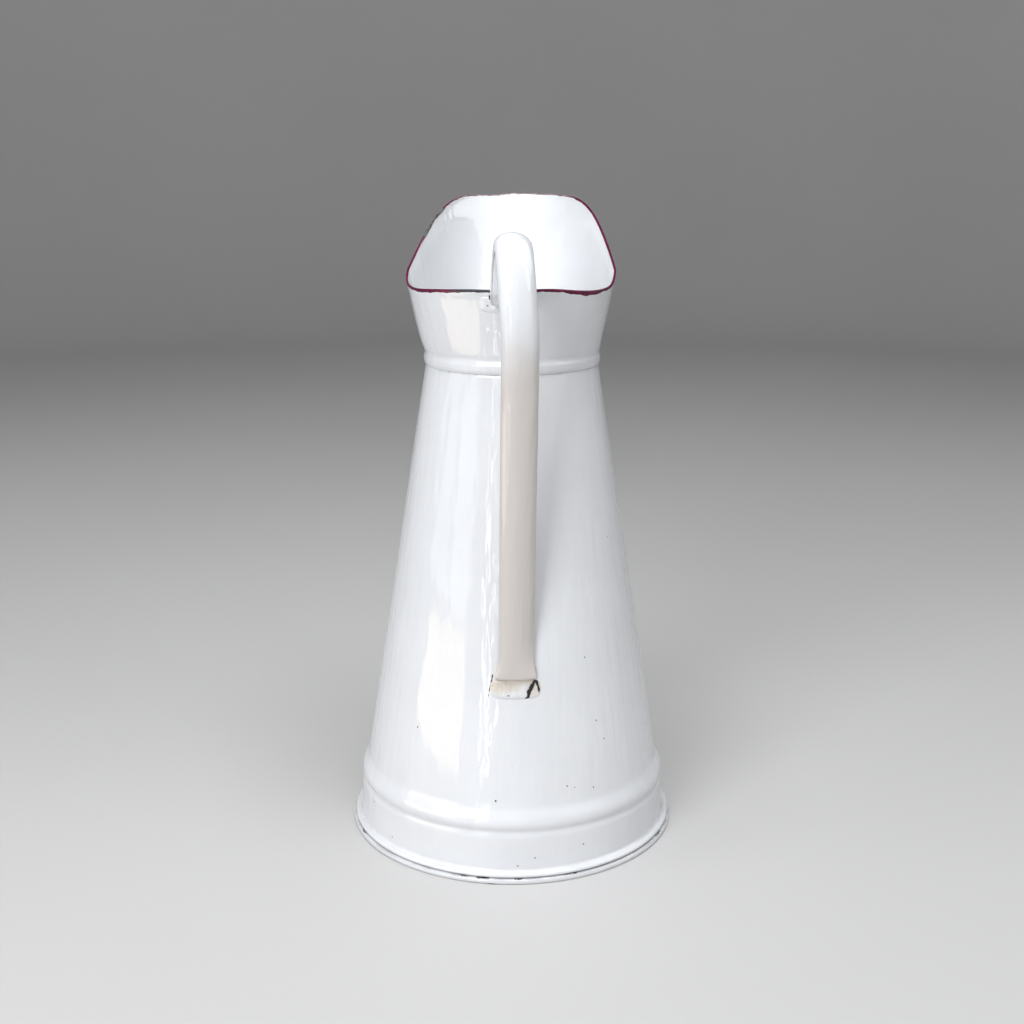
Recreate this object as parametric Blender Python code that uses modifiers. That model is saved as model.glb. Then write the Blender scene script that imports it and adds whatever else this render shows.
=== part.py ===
"""Tall conical pitcher of enamelled sheet steel, with a flared pouring collar and a loop handle.

Metres, +Z up. The origin is on the body's axis, in the plane that the foot stands on. The spout points
along +Y and the handle along -Y. Nothing on it moves.
"""

import math

import bmesh
import bpy
import numpy as np

# Sheet and joints
SHEET = 0.0011  # wall of every pressed piece, enamel included
JOINT_GAP = 0.0003  # clearance between two pieces that meet

# Foot: the pan's hem is the lower roll, the wall's curled flange is the upper one
BASE_RADIUS = 0.0955  # wall, just above the foot
FOOT_PROJECTION = 0.0048  # how far the hem stands out from the wall
FLANGE_INSET = 0.0013  # the flange stands out less than the hem
HEM_WIDTH = 0.0042
HEM_BORE = 0.0008  # space inside the hem's fold
FLANGE_BORE = 0.0003  # space inside the flange's curl
EDGE_RADIUS = 0.0009  # rounding of the hem and of the flange
FLANGE_FILLET = 0.0014  # inside corner between wall and flange
PAN_RECESS = 0.0070  # underside of the pan above the standing plane
PAN_SLOPE_RUN = 0.0050  # width of the pan's sloping skirt

# Band above the foot and the swage bead that closes it
BAND_HEIGHT = 0.0296
BAND_TAPER = 0.0015
BEAD_HEIGHT = 0.0124
BEAD_STEP = 0.0035  # the cone starts this much inside the band
BEAD_BULGE = 0.0008

# Cone and neck
NECK_HEIGHT = 0.2865  # seam between cone and collar
NECK_RADIUS = 0.0510  # outside, above and below the bead
NECK_BEAD_HEIGHT = 0.0065
NECK_BEAD_BULGE = 0.0013
SPIGOT_DEPTH = 0.0100  # how far the collar reaches down inside the cone

# Collar
COLLAR_HEIGHT = 0.0480  # rear rim above the seam
REAR_FLARE = 0.0090  # rear rim outside the neck
SIDE_FLARE = 0.0094
SPOUT_FLARE = 0.0520
SPOUT_NARROWING = 0.30  # share of the lip's width that is lost from the axis to the spout's tip
SPOUT_RISE = 0.0450  # spout's edge above the rear rim
RISE_START = 0.0245  # the lip starts to rise this far behind the axis
RISE_END = 0.0256  # the rise is complete this far behind the spout's tip
SPOUT_TURN = math.radians(3.3)  # the spout isn't quite opposite the handle

# Handle, a flattened tube made of an outer channel and an inner strip
GRIP_WIDTH = 0.0201
GRIP_THICKNESS = 0.0095
GRIP_CORNER = 0.0036
HANDLE_RISE = 0.0330  # top of the arch above the rear rim
BEND_DROP = 0.0185  # widest place of the loop below the rear rim
LEG_BEND_HEIGHT = 0.0200
ARCH_INNER_RUN = 0.0145  # from the leg out to the top of the arch
ARCH_OUTER_RUN = 0.0203  # from the top of the arch out to the widest place
HANDLE_FOOT_HEIGHT = 0.1180
FOOT_STANDOFF = 0.0032  # channel's outer face above the cone at its lower end
FOOT_SHIFT = 0.0021  # the loop stands askew: its foot, widest place and leg are off centre sideways
BEND_SHIFT = 0.0044
LEG_SHIFT = -0.0017

# Plates that join the handle to the body
UPPER_PLATE_WIDTH = 0.0232
UPPER_PLATE_HEIGHT = 0.0090
UPPER_PLATE_DROP = 0.0030  # plate's upper edge below the rear rim
LOWER_PLATE_WIDTH = 0.0290
LOWER_PLATE_HEIGHT = 0.0112

# Facets
AXIS_MERGE = 0.00005  # a turned profile's points this near the axis become one
SEGMENTS = 60
BEAD_STEPS = 5
EDGE_STEPS = 2
COLLAR_ROWS = 8
BEND_STATIONS = 9
RUN_STATIONS = 6
LEG_STATIONS = 4
CORNER_STEPS = 4
PLATE_COLUMNS = 8
PLATE_ROWS = 4

# Worked out from the sizes above
FOOT_RADIUS = BASE_RADIUS + FOOT_PROJECTION
HEM_HEIGHT = 2 * SHEET + HEM_BORE
FLANGE_FOOT = HEM_HEIGHT + JOINT_GAP
FLANGE_TOP = FLANGE_FOOT + 2 * SHEET + FLANGE_BORE
FLANGE_RADIUS = FOOT_RADIUS - FLANGE_INSET
BAND_RADIUS = BASE_RADIUS - BAND_TAPER
CONE_BASE_RADIUS = BAND_RADIUS - BEAD_STEP
CONE_BASE_HEIGHT = BAND_HEIGHT + BEAD_HEIGHT
CONE_TOP_HEIGHT = NECK_HEIGHT - JOINT_GAP
CONE_SLOPE = (CONE_BASE_RADIUS - NECK_RADIUS) / (CONE_TOP_HEIGHT - CONE_BASE_HEIGHT)
COLLAR_START_HEIGHT = NECK_HEIGHT + NECK_BEAD_HEIGHT
REAR_RIM_HEIGHT = NECK_HEIGHT + COLLAR_HEIGHT
REAR_RIM_RADIUS = NECK_RADIUS + REAR_FLARE
SPOUT_REACH = NECK_RADIUS + SPOUT_FLARE
PLATE_STACK = 2 * JOINT_GAP + SHEET  # plate with its two joints
LEG_OFFSET = PLATE_STACK + GRIP_THICKNESS / 2  # leg's middle line outside the collar
ARCH_DEPTH = REAR_RIM_RADIUS + LEG_OFFSET + ARCH_INNER_RUN
BEND_HEIGHT = REAR_RIM_HEIGHT - BEND_DROP
ARCH_HEIGHT = REAR_RIM_HEIGHT + HANDLE_RISE - GRIP_THICKNESS / 2
LEG_END_HEIGHT = REAR_RIM_HEIGHT - UPPER_PLATE_DROP - UPPER_PLATE_HEIGHT / 2
LEG_TOP_HEIGHT = ARCH_HEIGHT - LEG_BEND_HEIGHT


def cone_radius(height):
    """Outer radius of the cone, as a straight line between its two ends."""
    return NECK_RADIUS + (CONE_TOP_HEIGHT - height) * CONE_SLOPE


def arc(centre, radius, start, end, steps):
    """Points of a circular arc in the (radius, height) plane, between two angles in degrees."""
    angles = np.radians(np.linspace(start, end, steps + 1))
    ring = np.stack([np.cos(angles), np.sin(angles)], axis=1)
    return [tuple(point) for point in np.array(centre) + radius * ring]


def bulge(start, end, height, steps):
    """Points from start to end on a half-sine swell, which stands out to the left of that direction."""
    start, end = np.array(start), np.array(end)
    along = end - start
    outward = np.array([-along[1], along[0]]) / np.linalg.norm(along)
    shares = np.linspace(0, 1, steps + 1)[:, None]
    points = start + shares * along + height * np.sin(math.pi * shares) * outward
    return [tuple(point) for point in points]


# Profiles, from top to bottom down the outer side, as (radius, height)


def body_profile():
    """Cone, swage bead, band and the flange that curls outwards and under."""
    curl = FLANGE_RADIUS - EDGE_RADIUS
    curl_end = FLANGE_RADIUS - HEM_WIDTH / 2
    fillet = (BASE_RADIUS + FLANGE_FILLET, FLANGE_TOP + FLANGE_FILLET)
    return [
        (NECK_RADIUS, CONE_TOP_HEIGHT),
        *bulge((CONE_BASE_RADIUS, CONE_BASE_HEIGHT), (BAND_RADIUS, BAND_HEIGHT), BEAD_BULGE, BEAD_STEPS),
        *arc(fillet, FLANGE_FILLET, 180, 270, EDGE_STEPS),
        *arc((curl, FLANGE_TOP - EDGE_RADIUS), EDGE_RADIUS, 90, 0, EDGE_STEPS),
        *arc((curl, FLANGE_FOOT + EDGE_RADIUS), EDGE_RADIUS, 0, -90, EDGE_STEPS),
        (curl_end, FLANGE_FOOT),
    ]


def pan_profile():
    """Base pan: hem folded back on itself, flat standing ring, sloping skirt and recessed disc."""
    edge = FOOT_RADIUS - EDGE_RADIUS
    ring_inner = FOOT_RADIUS - HEM_WIDTH
    return [
        (ring_inner, HEM_HEIGHT),
        *arc((edge, HEM_HEIGHT - EDGE_RADIUS), EDGE_RADIUS, 90, 0, EDGE_STEPS),
        *arc((edge, EDGE_RADIUS), EDGE_RADIUS, 0, -90, EDGE_STEPS),
        (ring_inner, 0),
        (ring_inner - PAN_SLOPE_RUN, PAN_RECESS),
        (0, PAN_RECESS),
    ]


def collar_shape(turn, share):
    """A point of the collar's outer face above the neck.

    turn is the angle from the spout, and share runs from 0 at the neck to 1 at the lip. The lip is a
    half ellipse at the rear and a narrowing one in front, its height climbs smoothly to the spout, and
    straight lines join it to the neck's circle.
    """
    reach = NECK_RADIUS + np.where(np.cos(turn) > 0, SPOUT_FLARE, REAR_FLARE)
    lip_depth = reach * np.cos(turn)
    narrowing = 1 - SPOUT_NARROWING * np.clip(lip_depth / SPOUT_REACH, 0, 1)
    lip_width = (NECK_RADIUS + SIDE_FLARE) * narrowing * np.sin(turn)
    depth = NECK_RADIUS * np.cos(turn) * (1 - share) + lip_depth * share
    width = NECK_RADIUS * np.sin(turn) * (1 - share) + lip_width * share
    climb = np.clip((lip_depth + RISE_START) / (SPOUT_REACH - RISE_END + RISE_START), 0, 1)
    lip_height = REAR_RIM_HEIGHT + SPOUT_RISE * climb**2 * (3 - 2 * climb)
    x = width * math.cos(SPOUT_TURN) + depth * math.sin(SPOUT_TURN)
    y = depth * math.cos(SPOUT_TURN) - width * math.sin(SPOUT_TURN)
    z = COLLAR_START_HEIGHT + share * (lip_height - COLLAR_START_HEIGHT)
    return np.stack([x, y, z], axis=-1)


def rear_radius(height):
    """Outer radius of the collar on the handle's side, at a height between neck and lip."""
    share = (height - COLLAR_START_HEIGHT) / (REAR_RIM_HEIGHT - COLLAR_START_HEIGHT)
    return NECK_RADIUS + REAR_FLARE * share


def handle_line():
    """Middle line of the handle as (depth behind the axis, height), from its lower end to the leg's.

    A straight run meets the outer bend, a part of an ellipse, at the point where it touches it. The
    inner bend is a quarter ellipse, and the leg then follows the back of the collar.
    """
    foot_depth = cone_radius(HANDLE_FOOT_HEIGHT) + FOOT_STANDOFF - GRIP_THICKNESS / 2
    foot = np.array([foot_depth, HANDLE_FOOT_HEIGHT])
    outer_rise = ARCH_HEIGHT - BEND_HEIGHT
    across = (foot[0] - ARCH_DEPTH) / ARCH_OUTER_RUN
    down = (foot[1] - BEND_HEIGHT) / outer_rise
    touch = math.atan2(down, across) + math.acos(1 / math.hypot(across, down))
    angles = np.linspace(touch, math.pi / 2, BEND_STATIONS + 1)
    outer = np.stack(
        [
            ARCH_DEPTH + ARCH_OUTER_RUN * np.cos(angles),
            BEND_HEIGHT + outer_rise * np.sin(angles),
        ],
        axis=1,
    )
    run = foot + np.linspace(0, 1, RUN_STATIONS, endpoint=False)[:, None] * (outer[0] - foot)
    angles = np.linspace(math.pi / 2, math.pi, BEND_STATIONS)[1:]
    inner = np.stack(
        [
            ARCH_DEPTH + ARCH_INNER_RUN * np.cos(angles),
            LEG_TOP_HEIGHT + LEG_BEND_HEIGHT * np.sin(angles),
        ],
        axis=1,
    )
    heights = np.linspace(REAR_RIM_HEIGHT, LEG_END_HEIGHT, LEG_STATIONS)
    leg = np.stack([rear_radius(heights) + LEG_OFFSET, heights], axis=1)
    return np.concatenate([run, outer, inner, leg])


def swept(section, line):
    """Grid of points: the section (across, outward) carried along the handle's middle line.

    The outward direction is the line's normal on the outside of the loop. The sections stay square to
    the body, and shift sideways evenly along the run, over the two bends, and not at all on the leg.
    """
    tangent = np.gradient(line, axis=0)
    tangent /= np.linalg.norm(tangent, axis=1, keepdims=True)
    normal = np.stack([tangent[:, 1], -tangent[:, 0]], axis=1)
    points = line[:, None] + section[None, :, 1:] * normal[:, None]
    ends = [0, RUN_STATIONS, len(line) - LEG_STATIONS]
    shift = np.interp(np.arange(len(line)), ends, [FOOT_SHIFT, BEND_SHIFT, LEG_SHIFT])
    x = section[None, :, 0] + shift[:, None]
    return np.stack([x, -points[..., 0], points[..., 1]], axis=-1)


def channel_section():
    """Outer channel: two legs and a back with round corners, open towards the inside of the loop."""
    side, back = GRIP_WIDTH / 2, GRIP_THICKNESS / 2
    corner_x, corner_y = side - GRIP_CORNER, back - GRIP_CORNER
    return np.array(
        [
            (-side, -back),
            *arc((-corner_x, corner_y), GRIP_CORNER, 180, 90, CORNER_STEPS),
            *arc((corner_x, corner_y), GRIP_CORNER, 90, 0, CORNER_STEPS),
            (side, -back),
        ]
    )


def strip_section():
    """Inner strip, which closes the channel between its two legs."""
    side = GRIP_WIDTH / 2 - SHEET - JOINT_GAP
    inner = -GRIP_THICKNESS / 2
    return np.array([(side, inner), (0, inner), (-side, inner)])


# Blender objects


def clear_scene():
    """Removes whatever the scene holds."""
    for obj in list(bpy.data.objects):
        bpy.data.objects.remove(obj)


def new_collection(name):
    """A collection linked to the scene."""
    collection = bpy.data.collections.new(name)
    bpy.context.scene.collection.children.link(collection)
    return collection


def enamel(name, colour, roughness):
    """A material of glossy vitreous enamel."""
    material = bpy.data.materials.new(name)
    material.use_nodes = True
    shader = material.node_tree.nodes["Principled BSDF"]
    shader.inputs["Base Color"].default_value = (*colour, 1)
    shader.inputs["Roughness"].default_value = roughness
    shader.inputs["Metallic"].default_value = 0
    return material


def add_object(name, mesh, collection, material=None):
    """An object for the mesh, in a collection, with its material."""
    obj = bpy.data.objects.new(name, mesh)
    collection.objects.link(obj)
    if material:
        mesh.materials.append(material)
    return obj


def add_wall(obj, outward=False):
    """Gives an open surface the thickness of the sheet."""
    wall = obj.modifiers.new("wall", "SOLIDIFY")
    wall.thickness = SHEET
    wall.offset = 1 if outward else -1
    wall.use_even_offset = True
    wall.use_quality_normals = True


def turn_profile(name, profile, collection, material=None):
    """A surface turned from a profile in the XZ plane."""
    mesh = bpy.data.meshes.new(name)
    points = [(radius, 0, height) for radius, height in profile]
    edges = [(i, i + 1) for i in range(len(points) - 1)]
    mesh.from_pydata(points, edges, [])
    obj = add_object(name, mesh, collection, material)
    turn = obj.modifiers.new("turn", "SCREW")
    turn.steps = SEGMENTS
    turn.render_steps = SEGMENTS
    turn.use_merge_vertices = True
    turn.merge_threshold = AXIS_MERGE
    turn.use_smooth_shade = True
    return obj


def grid_surface(name, grid, collection, material, closed=False):
    """A surface through a grid of points, joined round along its second direction if it is closed."""
    rows, columns = grid.shape[:2]
    build = bmesh.new()
    corners = [[build.verts.new(point) for point in row] for row in grid]
    for row in range(rows - 1):
        for column in range(columns if closed else columns - 1):
            ahead = (column + 1) % columns
            build.faces.new(
                [
                    corners[row][column],
                    corners[row][ahead],
                    corners[row + 1][ahead],
                    corners[row + 1][column],
                ]
            )
    mesh = bpy.data.meshes.new(name)
    build.to_mesh(mesh)
    build.free()
    mesh.shade_smooth()
    return add_object(name, mesh, collection, material)


def cut_away(obj, cutter):
    """Removes the cutter's volume from an object."""
    cut = obj.modifiers.new("cut", "BOOLEAN")
    cut.operation = "DIFFERENCE"
    cut.solver = "EXACT"
    cut.object = cutter


# Pieces


def make_body(collection):
    """Conical wall from the neck seam down to the curled flange."""
    material = enamel("body_enamel", (0.86, 0.87, 0.88), 0.12)
    add_wall(turn_profile("body_cone", body_profile(), collection, material))


def make_pan(collection):
    """Base pan, hemmed under the body's flange."""
    material = enamel("base_enamel", (0.83, 0.84, 0.85), 0.18)
    add_wall(turn_profile("base_pan", pan_profile(), collection, material))


def make_collar(collection):
    """Pouring collar: a spigot inside the cone, the neck bead, and the flare up to the lip."""
    inset = SHEET * math.hypot(1, CONE_SLOPE) + JOINT_GAP
    spigot = [(cone_radius(height) - inset, height) for height in (NECK_HEIGHT - SPIGOT_DEPTH, NECK_HEIGHT)]
    bead_top = (NECK_RADIUS, COLLAR_START_HEIGHT)
    bead = bulge((NECK_RADIUS, NECK_HEIGHT), bead_top, -NECK_BEAD_BULGE, BEAD_STEPS)
    profile = spigot + bead[:-1]
    turn = np.linspace(0, 2 * math.pi, SEGMENTS, endpoint=False)
    circle = np.stack([np.sin(turn), np.cos(turn)], axis=1)
    rings = [np.column_stack([radius * circle, np.full(SEGMENTS, height)]) for radius, height in profile]
    rings += [collar_shape(turn, share) for share in np.linspace(0, 1, COLLAR_ROWS)]
    material = enamel("collar_enamel", (0.86, 0.87, 0.88), 0.12)
    add_wall(grid_surface("neck_collar", np.array(rings)[::-1], collection, material, closed=True))


def make_handle(collection, cutter):
    """Outer channel and inner strip, both mitred to the cone at their lower end."""
    line = handle_line()
    colour = (0.85, 0.85, 0.85)
    shell_enamel = enamel("handle_enamel", colour, 0.12)
    liner_enamel = enamel("liner_enamel", colour, 0.15)
    shell = grid_surface("handle_shell", swept(channel_section(), line), collection, shell_enamel)
    liner = grid_surface("handle_liner", swept(strip_section(), line), collection, liner_enamel)
    for piece in (shell, liner):
        add_wall(piece)
        cut_away(piece, cutter)


def make_plate(name, centre, width, heights, radius_at, collection):
    """A joining plate that lies on the back of the body, a joint's gap outside it."""
    across = np.linspace(-width / 2, width / 2, PLATE_COLUMNS + 1) + centre
    rows = []
    for height in heights:
        radius = radius_at(height) + JOINT_GAP
        turn = across / radius
        rows.append(
            np.stack(
                [radius * np.sin(turn), -radius * np.cos(turn), np.full(turn.shape, height)],
                axis=1,
            )
        )
    material = enamel(name + "_enamel", (0.84, 0.84, 0.83), 0.15)
    add_wall(grid_surface(name, np.array(rows), collection, material), outward=True)


def make_plates(collection):
    """Upper plate on the collar and lower plate on the cone, each under its end of the handle.

    The handle's lower end is cut square to its run, so the lower plate starts below its lowest corner.
    """
    line = handle_line()
    grip = swept(np.zeros((1, 2)), line)[:, 0]
    top = REAR_RIM_HEIGHT - UPPER_PLATE_DROP
    upper = np.linspace(top - UPPER_PLATE_HEIGHT, top, PLATE_ROWS)
    make_plate("upper_handle_plate", grip[-1, 0], UPPER_PLATE_WIDTH, upper, rear_radius, collection)
    rise = line[1] - line[0]
    end_tilt = abs(rise[0]) / np.linalg.norm(rise) * GRIP_THICKNESS / 2
    top = HANDLE_FOOT_HEIGHT - JOINT_GAP - end_tilt
    lower = np.linspace(top - LOWER_PLATE_HEIGHT, top, PLATE_ROWS)
    make_plate("lower_handle_plate", grip[0, 0], LOWER_PLATE_WIDTH, lower, cone_radius, collection)


def make_cone_cutter(collection):
    """The cone's own shape, one joint's gap larger, for the mitre of the handle's lower end."""
    gap = JOINT_GAP * math.hypot(1, CONE_SLOPE)
    profile = [
        (0, CONE_TOP_HEIGHT),
        (NECK_RADIUS + gap, CONE_TOP_HEIGHT),
        (CONE_BASE_RADIUS + gap, CONE_BASE_HEIGHT),
        (0, CONE_BASE_HEIGHT),
    ]
    cutter = turn_profile("cone_cutter", profile, collection)
    cutter.hide_render = True
    cutter.display_type = "WIRE"
    return cutter


def main():
    """Builds the pitcher."""
    clear_scene()
    pitcher = new_collection("enamel_pitcher")
    cutters = new_collection("cutters")
    make_body(pitcher)
    make_pan(pitcher)
    make_collar(pitcher)
    make_handle(pitcher, make_cone_cutter(cutters))
    make_plates(pitcher)


main()
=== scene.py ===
"""Looks of a tall water pitcher in white enamelled sheet steel, with a pouring collar and a loop handle.

Metres, +Z up. The body's axis is the Z axis and the foot stands at z = 0. The spout points along +Y and the
handle along -Y. A turn is an angle round the axis, 0 at the handle and a quarter of a turn at +X.
"""

import logging
import math
from collections.abc import Callable
from dataclasses import dataclass, field, replace
from enum import Enum
from functools import partial

import bpy
import numpy as np
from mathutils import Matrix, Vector

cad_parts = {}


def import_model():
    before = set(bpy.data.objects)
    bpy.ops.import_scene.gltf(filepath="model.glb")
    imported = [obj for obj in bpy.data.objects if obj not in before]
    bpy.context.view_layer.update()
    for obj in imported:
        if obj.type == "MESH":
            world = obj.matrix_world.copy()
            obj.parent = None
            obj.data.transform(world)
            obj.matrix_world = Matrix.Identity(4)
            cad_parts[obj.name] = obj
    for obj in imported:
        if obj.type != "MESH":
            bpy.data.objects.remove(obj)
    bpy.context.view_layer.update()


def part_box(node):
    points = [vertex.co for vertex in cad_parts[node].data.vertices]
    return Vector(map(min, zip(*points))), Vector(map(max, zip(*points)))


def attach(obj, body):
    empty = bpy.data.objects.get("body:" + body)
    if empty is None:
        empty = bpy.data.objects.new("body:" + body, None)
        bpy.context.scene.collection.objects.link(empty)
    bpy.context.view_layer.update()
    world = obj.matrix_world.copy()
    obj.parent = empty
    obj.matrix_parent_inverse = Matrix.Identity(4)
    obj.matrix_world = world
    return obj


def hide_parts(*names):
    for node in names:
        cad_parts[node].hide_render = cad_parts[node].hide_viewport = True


LOG = logging.getLogger("water_pitcher")
SEGMENTS = 320  # facets round the body
CAP_STEPS = 6  # facets of the half circle that rounds a sheet's edge
ARC_SPACING = 0.0003  # distance between points round the foot's small arcs
ARC_SHARE = 0.999  # keeps two arcs that meet on one side apart
RUN_SHARE, DRIP_SHARE, PEEL_SHARE = 0.60, 0.36, 0.04  # of the glaze's unevenness
JOINT_REACH = 0.0005  # how far grime, painted shade and chips reach from a joint at the foot
THIN_EVERY = 4  # a straight stretch of the wall keeps one row in so many

Array = np.ndarray
Socket = bpy.types.NodeSocket
Triple = tuple[float, float, float]  # a colour, or a point in metres
LEVEL = np.array([1, 1, 0])  # keeps the level part of a direction


# Shapes as arrays


def smooth_share(value: Array) -> Array:
    """Share that climbs smoothly from 0 to 1.

    Args:
        value: Position between the two ends, 0 at the first and 1 at the second.

    Returns:
        Three times the square less twice the cube of the value, which is clipped to 0 and 1.
    """
    clipped = np.clip(value, 0, 1)
    return clipped**2 * (3 - 2 * clipped)


def hump(value: Array, middle: float, width: float, power: float = 2) -> Array:
    """Bell that is 1 at its middle: the exponential of minus the distance over the width, to a power.

    Args:
        value: Where the bell is read.
        middle: Place of its top.
        width: Distance at which it has fallen to about a third.
        power: 2 gives a round bell, and a higher power a flat top with steep sides.

    Returns:
        Height of the bell, 0 to 1.
    """
    return np.exp(-np.abs((value - middle) / width) ** power)


def unit(vectors: Array) -> Array:
    """Vectors divided by their lengths."""
    return vectors / np.maximum(np.linalg.norm(vectors, axis=-1, keepdims=True), 1e-12)


def resampled(line: Array, spacing: float) -> Array:
    """Points evenly spaced along a line, each linear between its two neighbours.

    Args:
        line: Points in order, one a row.
        spacing: Distance between the new points, about.

    Returns:
        The new points, with the line's own two ends.
    """
    along = np.concatenate([[0], np.cumsum(np.linalg.norm(np.diff(line, axis=0), axis=1))])
    places = np.linspace(0, along[-1], max(2, round(along[-1] / spacing) + 1))
    return np.stack([np.interp(places, along, line[:, axis]) for axis in range(line.shape[1])], axis=1)


def rounded_line(corners: list[tuple[float, float]], radii: list[float], spacing: float) -> Array:
    """Line through corners in a plane, where an arc that touches both sides replaces each inner corner.

    An arc of radius r at a turn of angle a starts and ends r tan(a / 2) from its corner.

    Args:
        corners: The line's start, its inner corners and its end.
        radii: Radius at each inner corner.
        spacing: Distance between points, about.

    Returns:
        Points along the line.
    """
    points = np.array(corners, float)
    pieces = [points[:1]]
    for before, corner, after, radius in zip(points[:-2], points[1:-1], points[2:], radii, strict=True):
        into, out = unit(corner - before), unit(after - corner)
        side = np.sign(into[0] * out[1] - into[1] * out[0])
        inward = side * np.array([-into[1], into[0]])
        turn = math.acos(float(np.clip(into @ out, -1, 1)))
        centre = corner - into * radius * math.tan(turn / 2) + inward * radius
        angles = np.linspace(0, turn, 12)[:, None]
        pieces.append(centre - radius * (np.cos(angles) * inward - np.sin(angles) * into))
    return resampled(np.concatenate([*pieces, points[-1:]]), spacing)


def evened(values: Array, reach: int) -> Array:
    """Moving average.

    Args:
        values: Numbers in a row, the first and the last of which go on past the ends.
        reach: How many neighbours count on each side.

    Returns:
        The mean of each number and its neighbours.
    """
    width = 2 * reach + 1
    return np.convolve(np.pad(values, reach, mode="edge"), np.ones(width) / width, mode="valid")


def sheet_outline(line: Array, thickness: float, closed_start: bool = True) -> Array:
    """Outline of a sheet whose middle runs along a line in a plane.

    The line is moved by half the thickness to its left and its right, and half a circle rounds each end.

    Args:
        line: Points of the middle line.
        thickness: Thickness of the sheet.
        closed_start: Whether the start is rounded too. If not, the outline starts and ends there.

    Returns:
        Points of the outline, in order.
    """
    half = thickness / 2
    along = unit(np.gradient(line, axis=0))
    left = np.stack([-along[:, 1], along[:, 0]], axis=1)
    angles = np.linspace(0, math.pi, CAP_STEPS + 1)[1:-1, None]
    end = line[-1] + half * (np.cos(angles) * left[-1] + np.sin(angles) * along[-1])
    start = line[0] - half * (np.cos(angles) * left[0] + np.sin(angles) * along[0])
    sides = [line + half * left, end, (line - half * left)[::-1]]
    return np.concatenate([*sides, start] if closed_start else sides)


def turns_round(segments: int = SEGMENTS) -> Array:
    """Evenly spaced turns, from 0 up to one full turn, which is left out."""
    return np.linspace(0, 2 * math.pi, segments, endpoint=False)


def at_turn(radius: Array, turn: Array, height: Array) -> Array:
    """Points at a distance from the Z axis, a turn and a height."""
    return np.stack([radius * np.sin(turn), -radius * np.cos(turn), height + 0 * turn], axis=-1)


def turned(outline: Array, segments: int = SEGMENTS) -> Array:
    """Grid of a turned shape: each point of the outline goes round a circle about the Z axis.

    Args:
        outline: Points as (radius, height).
        segments: Points round the circle.

    Returns:
        Grid with a row for each point of the outline and a column for each turn.
    """
    return at_turn(outline[:, :1], turns_round(segments), outline[:, 1:])


def grid_normals(grid: Array, closed: bool) -> Array:
    """Unit normals of a surface: the cross product of its directions along the columns and the rows.

    Args:
        grid: Points of the surface.
        closed: Whether the surface closes on itself along its second direction.

    Returns:
        One normal for each point.
    """
    down = np.gradient(grid, axis=0)
    if closed:
        across = np.roll(grid, -1, axis=1) - np.roll(grid, 1, axis=1)
    else:
        across = np.gradient(grid, axis=1)
    return unit(np.cross(across, down))


def sheet_shell(middle: Array, thickness: float) -> Array:
    """Closed shell of a sheet whose middle is a surface, with half a circle round both of its edges.

    Args:
        middle: Grid of the middle surface, closed along its second direction.
        thickness: Thickness of the sheet.

    Returns:
        Grid that closes on itself in both directions.
    """
    half = thickness / 2
    out = grid_normals(middle, closed=True)
    along = unit(np.gradient(middle, axis=0))
    angles = np.linspace(0, math.pi, CAP_STEPS + 1)[1:-1, None, None]
    end = middle[-1] + half * (np.cos(angles) * out[-1] + np.sin(angles) * along[-1])
    start = middle[0] - half * (np.cos(angles) * out[0] + np.sin(angles) * along[0])
    return np.concatenate([middle + half * out, end, (middle - half * out)[::-1], start])


def placed(name: str, data: bpy.types.ID) -> bpy.types.Object:
    """Makes an object of a mesh, a lamp or a camera and puts it in the scene."""
    made = bpy.data.objects.new(name, data)
    bpy.context.scene.collection.objects.link(made)
    return made


@dataclass
class Skin:
    """A closed surface in the making: a grid of points, and values at them that its material reads.

    The grid's columns go round. Its rows go round too on a ring, and otherwise a fan closes each end.
    """

    grid: Array
    ring: bool = False
    values: dict[str, Array] = field(default_factory=dict)

    def faces(self) -> tuple[Array, Array]:
        """Corner numbers of the grid's quads and of the fans' triangles.

        Returns:
            The quads and the triangles, one a row.
        """
        rows, columns = self.grid.shape[:2]
        row = np.arange(rows if self.ring else rows - 1)[:, None] * columns
        column = np.arange(columns)[None, :]
        ahead = (column + 1) % columns
        below = (row + columns) % (rows * columns)
        quads = np.stack([row + column, row + ahead, below + ahead, below + column], axis=-1).reshape(-1, 4)
        if self.ring:
            return quads, np.zeros((0, 3), int)
        first, last = rows * columns, (rows - 1) * columns
        ring = column[0]
        start = np.stack([np.full(columns, first), (ring + 1) % columns, ring], axis=1)
        end = np.stack([np.full(columns, first + 1), last + ring, last + (ring + 1) % columns], axis=1)
        return quads, np.concatenate([start, end])

    def with_ends(self, values: Array) -> Array:
        """Values at the grid's points, with the mean of the first and the last row for the fans' middles."""
        flat = values.reshape(-1, *values.shape[2:])
        if self.ring:
            return flat
        return np.concatenate([flat, values[:1].mean(axis=1), values[-1:].mean(axis=1)])

    def build(self, name: str) -> bpy.types.Object:
        """Makes the mesh and its object, with the faces pointing out of the volume.

        Args:
            name: Name of the piece.

        Returns:
            The object, at the origin and in the scene.
        """
        points = self.with_ends(self.grid)
        quads, fans = self.faces()
        halves = np.concatenate([quads[:, :3], quads[:, [0, 2, 3]], fans])
        corners = points[halves]
        if np.einsum("ij,ij->", corners[:, 0], np.cross(corners[:, 1], corners[:, 2])) < 0:
            quads, fans = quads[:, ::-1], fans[:, ::-1]
        mesh = bpy.data.meshes.new(name)
        mesh.from_pydata(points.tolist(), [], quads.tolist() + fans.tolist())
        mesh.shade_smooth()
        for label, values in self.values.items():
            held = mesh.attributes.new(label, "FLOAT", "POINT")
            held.data.foreach_set("value", self.with_ends(values).astype(np.float32))
        return placed(name, mesh)


# Shader graphs


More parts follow.
